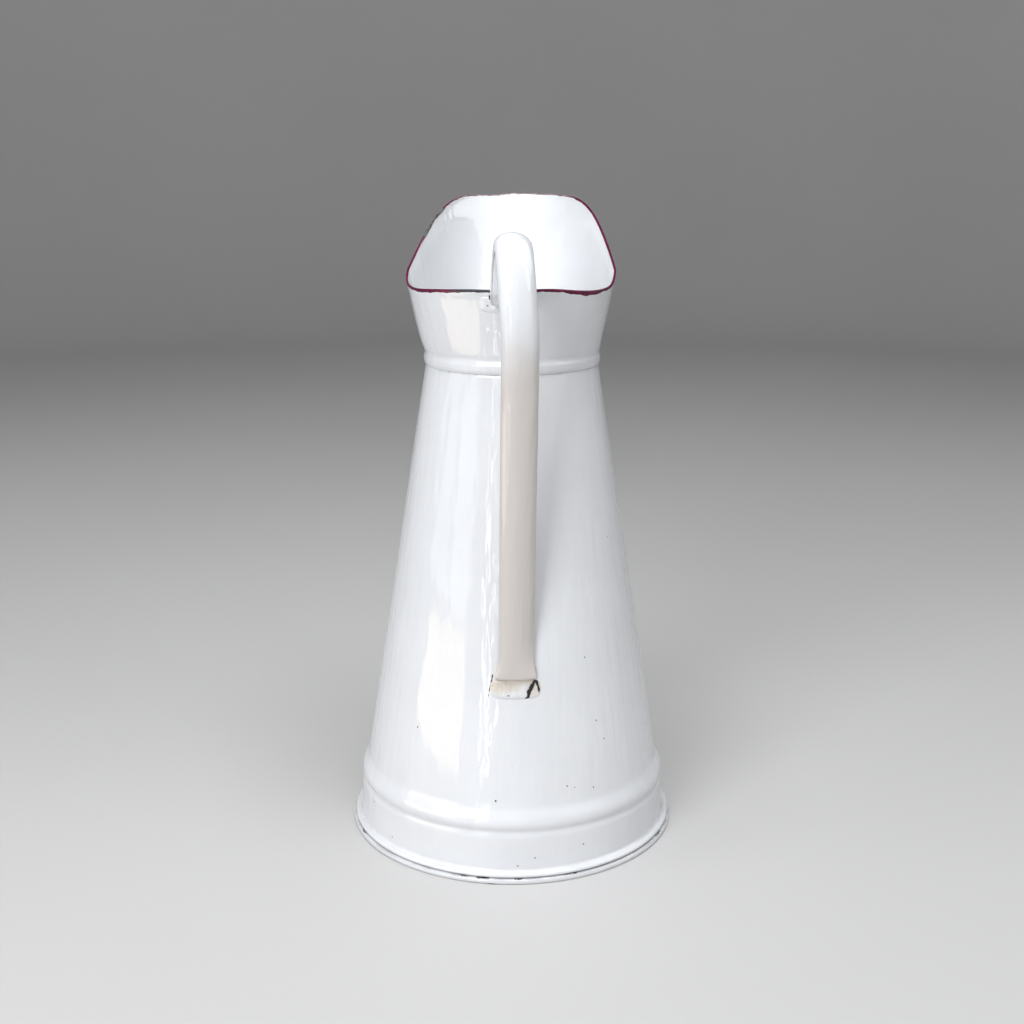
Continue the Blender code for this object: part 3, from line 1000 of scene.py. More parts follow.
@dataclass
class Collar:
    """Pouring collar: a spigot in the cone, the neck bead, and a flare up to the lip and its spout."""

    spigot_foot: float
    lip_top: float
    spout_reach: float
    cone_top: float
    sheet: float = 0.0011
    gap: float = 0.0003
    neck_radius: float = 0.0510
    cone_slope: float = 0.1618
    bead_middle: float = 0.2905
    bead_half: float = 0.0030
    bead_swell: float = 0.0011
    dent: float = 0.0002  # hollow over the bead
    dent_rise: float = 0.0048
    dent_half: float = 0.0014
    seam_dirt_and_shade: float = 0.25
    flare_foot: float = 0.2930
    rear_rim: float = 0.3345
    rear_flare: float = 0.0090
    side_flare: float = 0.0094
    narrowing: float = 0.30  # share of the lip's width that is lost from the axis to the spout's tip
    rise_start: float = 0.0245
    rise_end: float = 0.0256
    spout_turn: float = math.radians(3.3)
    front_square: float = 2.10  # 2 is an ellipse, and more is squarer
    rear_square: float = 2.18
    corner_dip: float = 0.0021
    corner_turn: float = math.radians(52)
    corner_width: float = math.radians(20)
    lip_curl: float = 0.0012
    bow: float = 0.0007  # swelling of the flare's sides
    lean: float = 0.0005  # the flare's sides stand this far off centre
    rows: int = 90

    def lip_height(self, depth: Array, turn: Array) -> Array:
        """Height of the lip.

        It climbs along a smooth step from the rear rim to the spout's edge, dips a little at both rear
        corners, and wavers slightly.

        Args:
            depth: Distance of the lip's points in front of the axis.
            turn: Turn of the points from the spout.

        Returns:
            Heights of the lip.
        """
        rise = self.spout_reach - self.rise_end + self.rise_start
        climb = smooth_share((depth + self.rise_start) / rise)
        from_rear = math.pi - np.abs(np.mod(turn + math.pi, math.tau) - math.pi)
        dip = self.corner_dip * hump(from_rear, self.corner_turn, self.corner_width)
        waver = 0.00025 * np.sin(5 * turn + 0.6) + 0.00015 * np.sin(11 * turn + 2.1)
        return self.rear_rim + (self.lip_top - 0.0002 - self.rear_rim) * climb - dip + waver

    def flare(self, turn: Array, share: Array) -> Array:
        """Outer face of the flare.

        The neck is a circle and the lip half of one rounded shape in front, which narrows towards the tip,
        and half of another behind. A straight line joins each point of the neck to its point of the lip, and
        the last stretch curls out.

        Args:
            turn: Turn from the spout.
            share: 0 at the neck and 1 at the lip.

        Returns:
            Points of the face.
        """
        cosine, sine = np.cos(turn), np.sin(turn)
        square = np.where(cosine > 0, self.front_square, self.rear_square)
        forward = np.sign(cosine) * np.abs(cosine) ** (2 / square)
        aside = np.sign(sine) * np.abs(sine) ** (2 / square)
        reach = np.where(cosine > 0, self.spout_reach - self.lip_curl, self.neck_radius + self.rear_flare)
        lip_depth = reach * forward
        lip_width = (self.neck_radius + self.side_flare) * aside
        lip_width *= 1 - self.narrowing * np.clip(lip_depth / self.spout_reach, 0, 1)
        top = self.lip_height(lip_depth, turn)
        curl = self.lip_curl * smooth_share((share - 0.84) / 0.16) * (0.35 + 0.65 * np.clip(forward, 0, 1))
        bow = self.bow * np.sin(math.pi * np.clip(share, 0, 1)) ** 0.6 * np.abs(sine)
        depth = self.neck_radius * cosine * (1 - share) + lip_depth * share + curl * cosine
        width = self.neck_radius * sine * (1 - share) + lip_width * share + (curl + bow) * sine
        width = width - self.lean * np.abs(sine) * smooth_share(share * 4)
        x = width * math.cos(self.spout_turn) + depth * math.sin(self.spout_turn)
        y = depth * math.cos(self.spout_turn) - width * math.sin(self.spout_turn)
        z = self.flare_foot + share * (top - self.flare_foot)
        return np.stack(np.broadcast_arrays(x, y, z), axis=-1)

    def middle(self) -> Array:
        """Middle surface of the sheet, from the spigot's lower edge up to the lip.

        Below the flare it is a turned line: up the spigot, out over the cone's edge and up the neck. The
        bead is a flat-topped bell added to the radius.

        Returns:
            Grid of points, closed round.
        """
        half = self.sheet / 2
        turns = turns_round()
        inside = self.neck_radius - self.sheet * math.hypot(1, self.cone_slope) - self.gap - half
        corners = [
            (inside + self.cone_slope * (self.cone_top - self.spigot_foot), self.spigot_foot + half),
            (inside, self.cone_top + self.gap + half),
            (self.neck_radius - half, self.cone_top + self.gap + half),
            (self.neck_radius - half, self.flare_foot - 0.0004),
        ]
        neck = rounded_line(corners, [0.0006, 0.0006], 0.0005)
        radius, height = neck[:, :1], neck[:, 1:]
        lower = np.stack([radius * np.sin(turns), radius * np.cos(turns), height + 0 * turns], axis=-1)
        shares = np.linspace(0, 1, self.rows)[:, None]
        upper = self.flare(turns[None, :], shares)
        upper -= half * self.outward(upper)
        grid = np.concatenate([lower, upper])
        swell = self.bead_swell * hump(grid[..., 2:], self.bead_middle, self.bead_half, 3)
        swell -= self.dent * hump(grid[..., 2:], self.bead_middle + self.dent_rise, self.dent_half)
        away = np.linalg.norm(grid[..., :2], axis=-1, keepdims=True)
        swell *= smooth_share((away - inside - 0.0004) / 0.0008)
        return grid + swell * unit(grid * LEVEL)

    @staticmethod
    def outward(grid: Array) -> Array:
        """Normals that point away from the axis, for a grid whose rows go up and whose columns go round."""
        normals = grid_normals(grid, closed=True)
        return normals * np.sign(np.sum(normals * grid * LEVEL, axis=-1, keepdims=True))

    def build(self) -> bpy.types.Object:
        """Gives the middle surface its thickness.

        Returns:
            The collar.
        """
        grid = sheet_shell(self.middle(), self.sheet)
        outside = np.linalg.norm(grid[..., :2], axis=-1) > self.neck_radius - 0.5 * self.sheet
        # grime and a painted shadow line along the seam under the neck bead
        seam = self.seam_dirt_and_shade * hump(grid[..., 2], self.cone_top + self.gap, 0.0006) * outside
        return Skin(grid, ring=True, values={"crevice_dirt_and_shade": seam}).build("enamelled_collar")


@dataclass
class LipEdging:
    """Coat of dark enamel that wraps the lip, wider outside than inside and wider still in drips."""

    collar: Collar
    coat: float = 0.00012
    outer_width: float = 0.0009
    inner_width: float = 0.0004
    ragged: float = 0.00009
    bite: float = 0.00004  # how deep the coat's edges lie in the collar's skin
    drips: tuple[Patch, ...] = (
        Patch(-52, 9, 0.0005),
        Patch(-34, 6, 0.0003),
        Patch(36, 7, 0.0008),
        Patch(46, 7, 0.0011),
        Patch(22, 6, 0.0001),
        Patch(-123, 5, 0.0012),
        Patch(-139, 3, 0.0010),
    )
    inner_drips: tuple[Patch, ...] = (
        Patch(84, 14, 0.0006),
        Patch(116, 16, 0.0008),
        Patch(142, 10, 0.0005),
        Patch(-125, 7, 0.0016),
        Patch(-139, 4, 0.0012),
    )
    slates: tuple[Patch, ...] = (Patch(-24, 9, 1.0), Patch(-14, 8, 1.0), Patch(-5, 8, 0.8), Patch(4, 6, 0.5))
    bares: tuple[Patch, ...] = (Patch(-125, 7, 0.80), Patch(-133, 2, 0.45), Patch(-139, 4, 0.75))
    fades: tuple[Patch, ...] = (
        *(Patch(-160, 8, 0.5), Patch(-172, 8, 0.8)),
        *(Patch(176, 8, 0.8), Patch(160, 9, 0.6)),
    )
    steps: int = 14

    def build(self) -> bpy.types.Object:
        """Wraps the lip: up the collar's outside, over its round edge and down its inside.

        The coat is thickest in the middle of its width and thins to nothing at both of its edges, along half
        an ellipse. Its inner side lies just inside the collar's own skin.

        Returns:
            The edging.
        """
        half = self.collar.sheet / 2
        middle = self.collar.middle()
        out = Collar.outward(middle)
        up = unit(middle[-1] - middle[-2])
        turn = np.arctan2(middle[-1, :, 0], -middle[-1, :, 1])
        ragged = self.ragged * (np.sin(37 * turn) + np.sin(61 * turn + 1) + np.sin(101 * turn + 2))
        outside = self.outer_width + spread(self.drips, turn) + ragged
        inside = self.inner_width + spread(self.inner_drips, turn) + ragged
        length = np.linalg.norm(middle[-1] - middle[-self.collar.rows], axis=-1)
        sides = []
        for width, side in ((outside, 1), (inside, -1)):
            shares = 1 - np.linspace(1, 0, self.steps)[:, None] * width / length
            row = (shares * (self.collar.rows - 1)) + len(middle) - self.collar.rows
            low = np.clip(np.floor(row).astype(int), 0, len(middle) - 2)
            part = (row - low)[..., None]
            column = np.arange(len(turn))[None, :]
            line = middle[low, column] * (1 - part) + middle[low + 1, column] * part
            normal = out[low, column]
            across = np.linspace(-1, 0, self.steps)[:, None, None]
            coat = half - self.bite + self.coat * np.sqrt(1 - np.abs(across) ** 6)
            sides.append((line, side * normal, coat))
        (outer, outer_way, coat), (inner, inner_way, _) = sides
        angles = np.linspace(0, math.pi, 9)[1:-1, None, None]
        over = np.cos(angles) * out[-1] + np.sin(angles) * up
        shown = [
            outer + coat * outer_way,
            middle[-1] + (half + self.coat) * over,
            (inner + coat * inner_way)[::-1],
        ]
        under = half - 1.25 * self.bite
        hidden = [inner + under * inner_way, middle[-1] + under * over[::-1]]
        hidden.append((outer + under * outer_way)[::-1])
        grid = np.concatenate([*shown, *hidden])
        values = {
            "slate": np.clip(spread(self.slates, turn), 0, 1) + np.zeros(grid.shape[:2]),
            "bare": spread(self.bares, turn) + np.zeros(grid.shape[:2]),
            "faded": np.clip(spread(self.fades, turn), 0, 1) + np.zeros(grid.shape[:2]),
        }
        return Skin(grid, ring=True, values=values).build("lip_edging")


@dataclass
class Handle:
    """Loop handle: a flattened tube made of an outer channel and an inner strip."""

    body: Body
    top: float
    foot: float
    reach: float
    rear_rim: float
    rim_radius: float = 0.0600
    width: float = 0.0201
    thickness: float = 0.0095
    corner: float = 0.0036
    crowns: tuple[float, float, float, float] = (0.0056, 0.0056, 0.0050, 0.0026)
    ridges: tuple[float, float, float, float] = (-0.0030, -0.0030, -0.0006, 0.0)
    crown_places: tuple[float, float, float, float] = (0.0, 0.60, 0.86, 1.0)
    sheet: float = 0.0011
    gap: float = 0.0003
    seam: float = 0.00006  # what the enamel leaves open of the strip's joint
    bend_drop: float = 0.0185
    leg_bend: float = 0.0200
    inner_run: float = 0.0145
    outer_run: float = 0.0203
    standoff: float = 0.0032
    plate_stack: float = 0.0017
    leg_foot: float = 0.3270
    foot_shift: float = 0.0021
    bend_shift: float = 0.0044
    leg_shift: float = -0.0017
    foot_flare: float = 0.0018
    foot_flare_run: float = 0.0070
    end_round: float = 0.0012
    leg_taper: float = 0.0090
    leg_end_share: float = 0.45
    seam_dirt_and_shade: float = 0.12
    spacing: float = 0.0012

    def line(self) -> Array:
        """Middle line of the loop as (depth behind the axis, height), from the foot up and over to the leg.

        A straight run meets the outer bend, part of an ellipse, where it touches it. The inner bend is a
        quarter of an ellipse, and the leg then follows the back of the collar.

        Returns:
            Evenly spaced points.
        """
        half = self.thickness / 2
        arch = self.top - half
        bend = self.rear_rim - self.bend_drop
        depth = self.reach - half - self.outer_run
        foot = np.array([self.body.radius(np.array(self.foot)) + self.standoff - half, self.foot])
        across, down = (foot[0] - depth) / self.outer_run, (foot[1] - bend) / (arch - bend)
        touch = math.atan2(down, across) + math.acos(1 / math.hypot(across, down))
        angles = np.linspace(touch, math.pi / 2, 60)
        outer = [depth + self.outer_run * np.cos(angles), bend + (arch - bend) * np.sin(angles)]
        angles = np.linspace(math.pi / 2, math.pi, 60)[1:]
        inner = [depth + self.inner_run * np.cos(angles), arch - self.leg_bend * (1 - np.sin(angles))]
        slope = (self.rim_radius - self.body.neck_radius) / (self.rear_rim - 0.2930)
        heights = np.linspace(self.rear_rim, self.leg_foot, 8)
        leg = [self.rim_radius - slope * (self.rear_rim - heights) + self.plate_stack + half, heights]
        points = np.concatenate([foot[None, :], np.stack(outer, 1), np.stack(inner, 1), np.stack(leg, 1)])
        line = resampled(points, self.spacing)
        return np.concatenate([line[:1], (line[:-2] + line[1:-1] + line[2:]) / 3, line[-1:]])

    def swept(self, section: Array) -> Array:
        """Carries a closed section along the loop.

        The section's second number is measured inwards from the loop's outside. Its back is arched: it sinks
        inwards by the crown of that station times the square of the share across from its ridge to its right
        edge. The section shrinks where the cone is nearer than the tube is thick, and towards the leg's end.
        At both ends the edges draw in along a quarter circle.

        Args:
            section: Points as (across, inwards), one a row.

        Returns:
            Grid with a row for each station along the loop.
        """
        line = self.line()
        count = len(line)
        tangent = unit(np.gradient(line, axis=0))
        out = np.stack([tangent[:, 1], -tangent[:, 0]], axis=1)
        back = line + out * self.thickness / 2
        height = back[:, 1]
        slope = (self.body.cone_foot_radius - self.body.neck_radius) / (self.body.top - self.body.cone_foot)
        clear = (back[:, 0] - self.body.radius(height)) / (out[:, 0] + slope * out[:, 1]) - self.gap
        on_run = np.arange(count) < count // 2
        along = np.arange(count) * self.spacing
        to_end = along[-1] - along
        deep = np.where(on_run, np.clip(clear, 0, self.thickness), self.thickness)
        tapered = self.leg_end_share + (1 - self.leg_end_share) * smooth_share(to_end / self.leg_taper)
        deep = deep * tapered
        near = np.clip(1 - np.minimum(along, to_end) / self.end_round, 0, 1)
        drawn = self.end_round * (1 - np.sqrt(1 - near**2)) * 0.7
        bend_at = int(np.argmax(line[:, 0]))
        shift = np.interp(
            np.arange(count),
            [0, bend_at, count - 12],
            [self.foot_shift, self.bend_shift, self.leg_shift],
        )
        shift = evened(shift, 8)
        flared = self.foot_flare * hump(along, 0, self.foot_flare_run)
        narrow = 1 + 2 * (flared - drawn) / self.width
        x = section[None, :, 0] * narrow[:, None] + shift[:, None]
        share = np.linspace(0, 1, count)
        crown = evened(np.interp(share, self.crown_places, self.crowns), 10)
        ridge = np.interp(share, self.crown_places, self.ridges)[:, None]
        arched = ((section[None, :, 0] - ridge) / (self.width / 2 - ridge)) ** 2
        arched = arched * np.clip(1 - section[None, :, 1] / self.thickness, 0, 1)
        inwards = section[None, :, 1] + crown[:, None] * arched
        inwards = drawn[:, None] + inwards * ((deep - drawn) / self.thickness)[:, None]
        place = back[:, None] - inwards[..., None] * out[:, None]
        return np.stack([x, -place[..., 0], place[..., 1]], axis=-1)

    def build_shell(self) -> bpy.types.Object:
        """Sweeps the channel: two legs and a back with round corners, open inwards.

        Returns:
            The channel.
        """
        half = self.sheet / 2
        side = self.width / 2 - half
        deep = self.thickness - half
        corners = [(-side, deep), (-side, half), (side, half), (side, deep)]
        line = rounded_line(corners, [self.corner - half] * 2, 0.0006)
        section = sheet_outline(line, self.sheet)
        grid = self.swept(section)
        crevice_dirt_and_shade = self.dirt_and_shade(len(grid), section[:, 1] - self.thickness)
        return Skin(grid, values={"crevice_dirt_and_shade": crevice_dirt_and_shade}).build("enamelled_handle_shell")

    def build_liner(self) -> bpy.types.Object:
        """Sweeps the strip that closes the channel.

        Returns:
            The strip.
        """
        half = self.sheet / 2
        side = self.width / 2 - self.sheet - self.seam - half
        line = resampled(np.array([(-side, self.thickness - half), (side, self.thickness - half)]), 0.0008)
        section = sheet_outline(line, self.sheet)
        grid = self.swept(section)
        crevice_dirt_and_shade = self.dirt_and_shade(len(grid), np.abs(section[:, 0]) - side - half)
        return Skin(grid, values={"crevice_dirt_and_shade": crevice_dirt_and_shade}).build("enamelled_handle_liner")

    def dirt_and_shade(self, count: int, from_seam: Array) -> Array:
        """Grime and painted shade along the seam, and in the last millimetre before both ends, where they
        meet the plates.

        Args:
            count: How many stations the grid has.
            from_seam: Distance of each point of the section from the seam.

        Returns:
            The value of the grime and painted shade at each point of the grid.
        """
        along = np.arange(count) * self.spacing
        # painted contact shade, with grime, towards both ends
        ends = 0.5 * np.maximum(hump(along, 0, 0.0009), hump(along[-1] - along, 0, 0.0014))
        return self.seam_dirt_and_shade * hump(from_seam, 0, 0.0005)[None, :] + ends[:, None]


@dataclass
class Plate:
    """Thin plate of rounded outline that lies on a wall, with soft enamelled edges."""

    name: str
    wall: Callable[[Array, Array], Array]
    middle: tuple[float, float]
    width: float
    height: float
    thickness: float = 0.0009
    square: float = 4.0  # 2 gives an ellipse, and more a squarer outline
    softness: float = 1.2  # more gives a flatter top with steeper sides
    rear_gap: float = 0.00002  # between the wall and the plate's rear
    columns: int = 96
    rows: int = 40

    def build(self) -> bpy.types.Object:
        """Lays the plate on its wall.

        A point at share u across and v up lies inside where the sum of their powers is under 1, and the
        plate's thickness there is the whole one times the root of what is left.

        Returns:
            The plate.
        """
        across = -np.cos(np.linspace(0, math.pi, self.columns + 1))[1:-1, None]
        tall = (1 - np.abs(across) ** self.square) ** (1 / self.square)
        up = np.sin(np.linspace(-math.pi / 2, math.pi / 2, self.rows + 1))[None, :] * tall
        left = 1 - np.abs(across) ** self.square - np.abs(up) ** self.square
        rise = self.thickness * np.clip(left, 0, 1) ** (1 / self.softness)
        x, z = self.middle
        base = self.wall(x + across * self.width / 2 + 0 * up, z + up * self.height / 2)
        normal = grid_normals(base, closed=False)
        normal *= np.sign(np.sum(normal * base * LEVEL, axis=-1, keepdims=True))
        front = base + rise[..., None] * normal
        rear = base + self.rear_gap * normal
        grid = np.concatenate([front, rear[:, ::-1]], axis=1)
        return Skin(grid).build(self.name)


# Studio


@dataclass(frozen=True)
class Lamp:
    """Soft rectangular lamp. Its bearing is 0 behind the camera and grows towards +X, in degrees.

    A glint lamp is seen only in reflections.
    """

    name: str
    bearing: float
    distance: float
    height: float
    size: tuple[float, float]
    power: float
    aim_height: float = 0.18
    colour: Triple = (0.965, 0.98, 1.0)
    glint: bool = False

    def build(self) -> None:
        """Places the lamp and turns it towards the axis."""
        data = bpy.data.lights.new(self.name, "AREA")
        data.shape = "RECTANGLE"
        data.size, data.size_y = self.size
        data.energy = self.power
        data.color = self.colour
        lamp = placed(self.name, data)
        bearing = math.radians(self.bearing)
        lamp.location = (self.distance * math.sin(bearing), -self.distance * math.cos(bearing), self.height)
        tilt = math.atan2(self.height - self.aim_height, self.distance)
        lamp.rotation_euler = (math.pi / 2 - tilt, 0, bearing)
        lamp.visible_camera = False
        lamp.visible_diffuse = not self.glint


@dataclass
class Studio:
    """Pale floor that curves up into a wall all round, lamps, and the camera."""

    floor_radius: float = 2.2
    sweep_radius: float = 0.9
    wall_height: float = 2.2
    floor_colour: Triple = (0.62, 0.612, 0.605)
    floor_drift: float = 0.97
    floor_roughness: float = 0.65
    sky: Triple = (0.80, 0.84, 0.90)
    sky_strength: float = 0.03
    camera_distance: float = 0.8366
    camera_height: float = 0.4120
    camera_pitch: float = 14.53
    lens: float = 50.0
    lamps: tuple[Lamp, ...] = (
        Lamp("top", 10, 0.35, 1.9, (1.3, 1.3), 26.0, aim_height=0.2),
        Lamp("fill", 55, 2.0, 1.0, (1.2, 1.2), 3.8),
        Lamp("front", -30, 1.6, 0.95, (0.8, 0.8), 16.2),
        Lamp("side", -75, 1.3, 0.62, (0.5, 1.1), 2.0),
        Lamp("high_card", 14, 0.95, 1.80, (1.30, 0.60), 6.0),
        Lamp("right_card", 90, 1.0, 1.10, (1.30, 1.00), 11.5, glint=True),
        Lamp("low_card", -58, 0.47, 0.062, (0.34, 0.12), 0.37, 0.062, (1.0, 0.78, 0.54), glint=True),
        Lamp("low_slit_left", -20.6, 0.47, 0.062, (0.013, 0.12), 0.034, 0.062, glint=True),
        Lamp("low_slit_right", -16.8, 0.47, 0.062, (0.010, 0.12), 0.024, 0.062, glint=True),
        Lamp("mid_card", -50, 0.80, 0.36, (0.30, 0.48), 0.75, 0.36, glint=True),
        Lamp("slit_left", -24, 1.30, 0.38, (0.030, 0.74), 0.55, 0.38, glint=True),
        Lamp("slit_right", -17, 1.30, 0.38, (0.016, 0.74), 0.30, 0.38, glint=True),
    )

    def build_floor(self) -> bpy.types.Object:
        """Turns the floor's line: flat, then a quarter circle, then straight up.

        Returns:
            The floor.
        """
        angles = np.linspace(-math.pi / 2, 0, 24)
        sweep = np.stack([np.cos(angles), 1 + np.sin(angles)], axis=1) * self.sweep_radius
        top = (self.floor_radius + self.sweep_radius, self.wall_height)
        line = np.concatenate([[(0.001, 0.0)], sweep + np.array([self.floor_radius, 0]), [top]])
        grid = turned(line, 128)
        rows, columns = grid.shape[:2]
        row, column = np.arange(rows - 1)[:, None] * columns, np.arange(columns)[None, :]
        ahead = (column + 1) % columns
        quads = np.stack([row + column, row + ahead, row + columns + ahead, row + columns + column], axis=-1)
        mesh = bpy.data.meshes.new("floor")
        middle = np.arange(columns)[::-1]
        mesh.from_pydata(grid.reshape(-1, 3).tolist(), [], [*quads.reshape(-1, 4).tolist(), middle.tolist()])
        mesh.shade_smooth()
        return placed("floor", mesh)

    def dress_floor(self, floor: bpy.types.Object) -> None:
        """Gives the floor a matt pale finish with a slight drift in tone."""
        blank = Blank.named("pale_floor")
        drift = blank.graph.noise(blank.place, 1.5, 3.0).outputs["Fac"]
        darker = tuple(self.floor_drift * value for value in self.floor_colour)
        share = blank.graph.ramp(drift, 0.35, 0.65)
        colour = blank.graph.mix(share, (*self.floor_colour, 1), (*darker, 1))
        blank.feed("Base Color", colour)
        blank.feed("Roughness", self.floor_roughness)
        floor.data.materials.append(blank.material)

    def build_camera(self) -> None:
        """Places the camera behind the handle, a little above the lip, and pitches it down."""
        data = bpy.data.cameras.new("camera")
        data.lens = self.lens
        camera = placed("camera", data)
        camera.location = (0, -self.camera_distance, self.camera_height)
        camera.rotation_euler = (math.radians(90 - self.camera_pitch), 0, 0)
        bpy.context.scene.camera = camera

    def build(self) -> None:
        """Builds the floor, the lamps, the sky and the camera."""
        floor = self.build_floor()
        self.dress_floor(floor)
        for lamp in self.lamps:
            lamp.build()
        world = bpy.data.worlds.new("sky")
        world.use_nodes = True
        background = world.node_tree.nodes["Background"]
        background.inputs["Color"].default_value = (*self.sky, 1)
        background.inputs["Strength"].default_value = self.sky_strength
        bpy.context.scene.world = world
        bpy.context.scene.view_settings.view_transform = "Standard"
        self.build_camera()


# The pitcher

GRIP_GAP = 0.0004  # between the lower plate and the grip's end
WELD_RISE = 0.0035  # middle of the weld above the lower plate
WELD_MARGIN = 0.0040  # how much wider than the grip the weld is
WELD_HEIGHT = 0.0120


@dataclass
class Pitcher:
    """The whole pitcher: its pieces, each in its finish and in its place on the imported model."""

    body: Body
    pan: Pan
    collar: Collar
    edging: LipEdging
    handle: Handle
    upper_plate: Plate
    lower_plate: Plate
    foot_weld: Plate
    white: Triple = (0.80, 0.81, 0.83)
    off_white: Triple = (0.765, 0.775, 0.795)
    # painted shade: the base pan's white is darker than the wall's
    foot_shaded_white: Triple = (0.705, 0.715, 0.735)
    # grip's tint: partly yellowed enamel, partly painted shade with a painted warm reflection
    grip_beige_and_shade: Triple = (0.66, 0.615, 0.583)
    plate_cream: Triple = (0.70, 0.64, 0.56)
    # colour of the handle's hairlines and of its grime and painted shade
    warm_soil_and_shade: Triple = (0.33, 0.26, 0.19)

    @classmethod
    def from_frame(cls) -> "Pitcher":
        """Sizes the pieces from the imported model's boxes.

        Returns:
            The pitcher.
        """
        _, pan_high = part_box("base_pan")
        body_low, body_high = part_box("body_cone")
        collar_low, collar_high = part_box("neck_collar")
        shell_low, shell_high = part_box("handle_shell")
        upper_low, upper_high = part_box("upper_handle_plate")
        lower_low, lower_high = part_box("lower_handle_plate")
        body = Body(top=body_high.z, flange_radius=body_high.x, flange_foot=body_low.z)
        collar = Collar(collar_low.z, collar_high.z, collar_high.y, cone_top=body_high.z)
        handle = Handle(body, shell_high.z, lower_high.z + GRIP_GAP, -shell_low.y, collar.rear_rim)

        def on_collar(across: Array, height: Array) -> Array:
            """Points on the back of the collar, by distance across and height."""
            share = (height - collar.flare_foot) / (collar.rear_rim - collar.flare_foot)
            return collar.flare(math.pi - across / handle.rim_radius, share)

        def on_body(across: Array, height: Array) -> Array:
            """Points on the back of the cone, by distance across and height."""
            return body.surface(across / body.radius(height), height)

        def tab(name: str, wall: Callable[[Array, Array], Array], low: Vector, high: Vector) -> Plate:
            """Plate on a wall, as wide and as tall as a box between two corners."""
            middle = ((low.x + high.x) / 2, (low.z + high.z) / 2)
            return Plate(name, wall, middle, high.x - low.x, high.z - low.z)

        upper = tab("enamelled_upper_plate", on_collar, upper_low, upper_high)
        lower = tab("enamelled_lower_plate", on_body, lower_low, lower_high)
        middle = (handle.foot_shift, lower_high.z + WELD_RISE)
        size = (handle.width + WELD_MARGIN, WELD_HEIGHT)
        weld = Plate("foot_weld", on_body, middle, *size, thickness=0.0011, square=3.5, softness=1.3)
        pan = Pan(pan_high.x, pan_high.z)
        return cls(body, pan, collar, LipEdging(collar), handle, upper, lower, weld)

    def wall_specks(self) -> tuple[Chip, ...]:
        """Specks on the wall.

        Returns:
            The strokes, from a table of the turn in degrees, the height in millimetres and the radius in
            tenths of a millimetre.
        """
        spots = [(33, 125.5, 4), (-41, 81.8, 4), (36, 87.7, 4), (39, 75.8, 4), (21, 53.5, 4), (24, 52.1, 3)]
        spots += [(32, 49.5, 4), (-6, 47.2, 5), (-63, 24.2, 5), (-49, 10.7, 4), (8, 13.7, 4), (2, 9.2, 4)]
        spots += [(26, 18.0, 4), (71, 69.0, 4), (128, 48.0, 5), (-95, 130.0, 4), (163, 201.0, 4)]
        spots += [(-150, 70.0, 4), (105, 160.0, 4)]
        specks = []
        for degrees, height, size in spots:
            place = self.body.mark(degrees, height / 1000)
            specks.append(Chip(place, place, size * 1e-4, size * 1e-4, 0.0003))
        return tuple(specks)

    @staticmethod
    def strokes(rows: list, place: Callable[[float, float], tuple], ragged: float) -> tuple[Chip, ...]:
        """Chips from a table.

        Args:
            rows: Across and height of both ends, then both radii, all in millimetres.
            place: Gives the point of the surface at a distance across and a height.
            ragged: How far the edges swing.

        Returns:
            A chip for each row.
        """
        chips = []
        for x0, z0, x1, z1, r0, r1 in np.array(rows) / 1000:
            chips.append(Chip(place(x0, z0), place(x1, z1), float(r0), float(r1), ragged))
        return tuple(chips)

    def tab_chips(self, above: float) -> tuple[Chip, ...]:
        """Chips and cracks round the handle's foot: a black wedge with two limbs, and fine cracks.

        Args:
            above: How far the surface that they are on stands above the wall.

        Returns:
            The strokes: five of the wedge, four of the crack on the left, four small ones between.
        """
        wedge = [(13.4, 117.3, 9.8, 110.6, 0.6, 1.3), (9.8, 110.6, 9.3, 107.2, 1.3, 0.8)]
        wedge += [(9.3, 107.2, 7.3, 105.9, 0.8, 0.3), (13.6, 117.0, 15.4, 111.4, 0.9, 0.7)]
        wedge += [(15.4, 111.4, 15.6, 109.0, 0.7, 0.4)]
        crack = [(-11.0, 119.4, -11.5, 116.5, 0.40, 0.32), (-11.5, 116.5, -12.7, 111.0, 0.32, 0.26)]
        crack += [(-12.7, 111.0, -13.6, 107.0, 0.26, 0.16), (-11.9, 114.8, -10.8, 112.6, 0.26, 0.16)]
        small = [(-3.4, 114.6, -3.1, 110.0, 0.24, 0.14), (1.4, 114.0, 5.4, 110.5, 0.20, 0.14)]
        small += [(5.4, 105.4, 5.0, 105.2, 0.40, 0.30), (-2.2, 108.3, -1.8, 108.2, 0.30, 0.30)]

        def on_wall(across: float, height: float) -> Triple:
            """Point above the wall at the back."""
            return self.at_back(float(self.body.radius(np.array(height))) + above, across, height)

        return self.strokes(wedge + crack + small, on_wall, 0.0015)

    def leg_chips(self, above: float) -> tuple[Chip, ...]:
        """Rusty chips beside the end of the handle's leg, on a surface that stands above the collar."""
        rows = [(-12.2, 332.4, -12.0, 330.2, 0.55, 0.65), (-11.8, 330.2, -10.6, 328.0, 0.4, 0.3)]
        rows += [(-13.4, 326.3, -13.4, 326.0, 0.5, 0.4)]
        radius = self.handle.rim_radius - 0.0008 + above
        return self.strokes(rows, partial(self.at_back, radius), 0.0010)

    @staticmethod
    def at_back(radius: float, across: float, height: float) -> Triple:
        """Point at the back, at a distance from the axis, a distance across and a height."""
        return float(across), -math.sqrt(radius**2 - across**2), float(height)

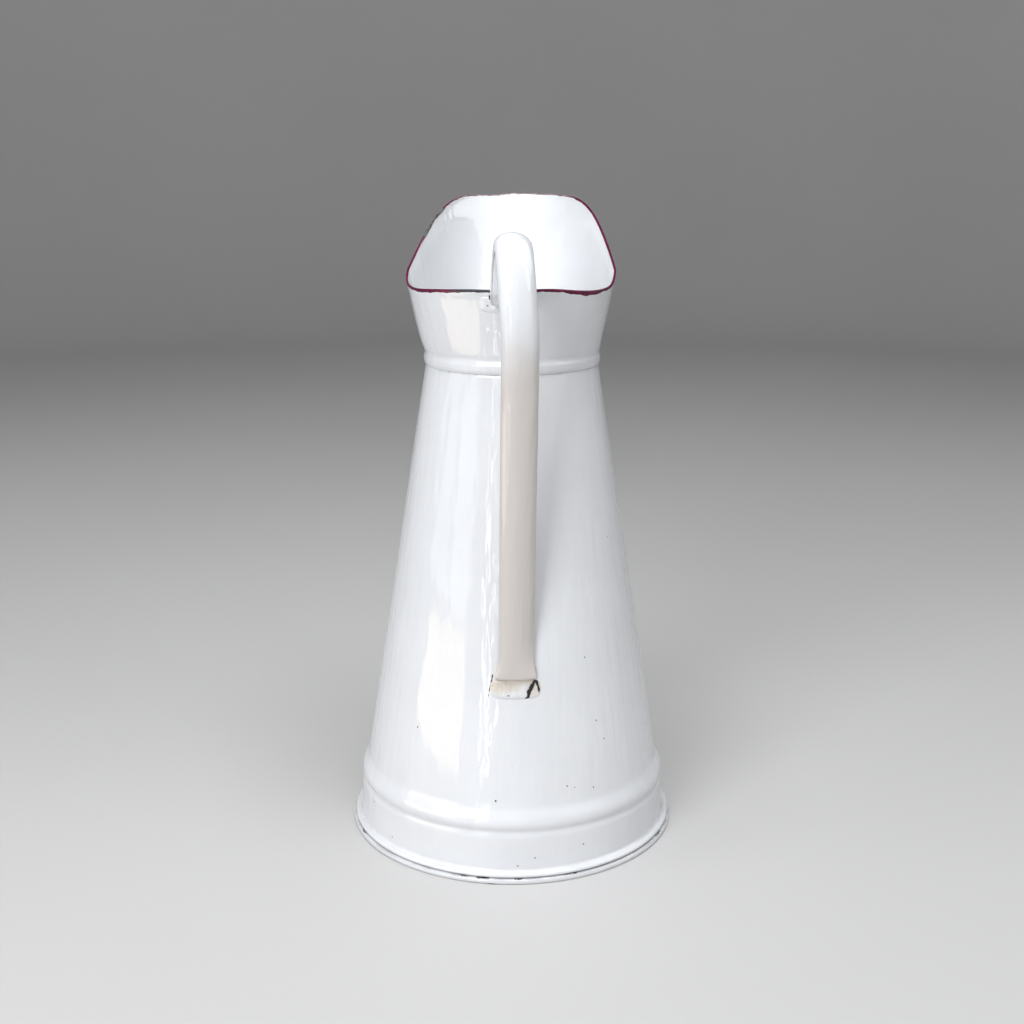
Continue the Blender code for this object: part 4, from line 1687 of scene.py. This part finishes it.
    def build(self) -> list[tuple[bpy.types.Object, Enamel | Edging, str, tuple[str, ...]]]:
        """Builds every piece.

        Returns:
            For each piece, its object, its finish, its material slot and the CAD nodes that it stands for.
        """
        white, drift = self.white, self.off_white
        wall_chips = self.wall_specks() + self.tab_chips(0.0)[5:9]
        wall = Enamel("white_enamel_wall", white, drift, chips=wall_chips)
        # the base pan in the darker white, a painted shade
        base = Enamel("white_enamel_base", self.foot_shaded_white, self.foot_shaded_white, pit_share=0.05)
        pour = Enamel("white_enamel_collar", white, drift, chips=self.leg_chips(0.0004))
        # handle enamel: beige below the white arch, partly yellowed, partly painted shade with a painted warm
        # reflection
        worn_and_shaded = Enamel("white_enamel_handle", white, drift, soil_and_shade=self.warm_soil_and_shade, tint=self.grip_beige_and_shade)
        grip = replace(worn_and_shaded, run_scale=45.0, tint_at=0.296, untinted_at=0.334)
        tab = replace(worn_and_shaded, name="white_enamel_plates", tint=self.plate_cream)
        tab = replace(tab, run_scale=120.0, tint_at=0.1245, untinted_at=0.1160, chips=self.tab_chips(0.0007))
        edge = Edging("plum_edging")
        return [
            (self.body.build(), wall, "body_enamel", ("body_cone",)),
            (self.pan.build(), base, "base_enamel", ("base_pan",)),
            (self.collar.build(), pour, "collar_enamel", ("neck_collar",)),
            (self.edging.build(), edge, "lip_enamel", ()),
            (self.handle.build_shell(), grip, "handle_enamel", ("handle_shell",)),
            (self.handle.build_liner(), grip, "handle_enamel", ("handle_liner",)),
            (self.upper_plate.build(), pour, "handle_enamel", ("upper_handle_plate",)),
            (self.lower_plate.build(), tab, "handle_enamel", ("lower_handle_plate",)),
            (self.foot_weld.build(), tab, "handle_enamel", ()),
        ]


def main() -> None:
    """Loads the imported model, builds and dresses the pitcher round it, and sets the studio up."""
    logging.basicConfig(level=logging.INFO, format="%(name)s: %(message)s")
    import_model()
    effects = Effects()
    materials: dict[str, bpy.types.Material] = {}
    for piece, finish, slot, nodes in Pitcher.from_frame().build():
        if finish.name not in materials:
            materials[finish.name] = finish.material(effects)
        piece.data.materials.append(materials[finish.name])
        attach(piece, "root")
        if nodes:
            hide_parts(*nodes)
        LOG.info("%s: %d faces, %s", piece.name, len(piece.data.polygons), finish.name)
    Studio().build()


if __name__ == "__main__":
    main()
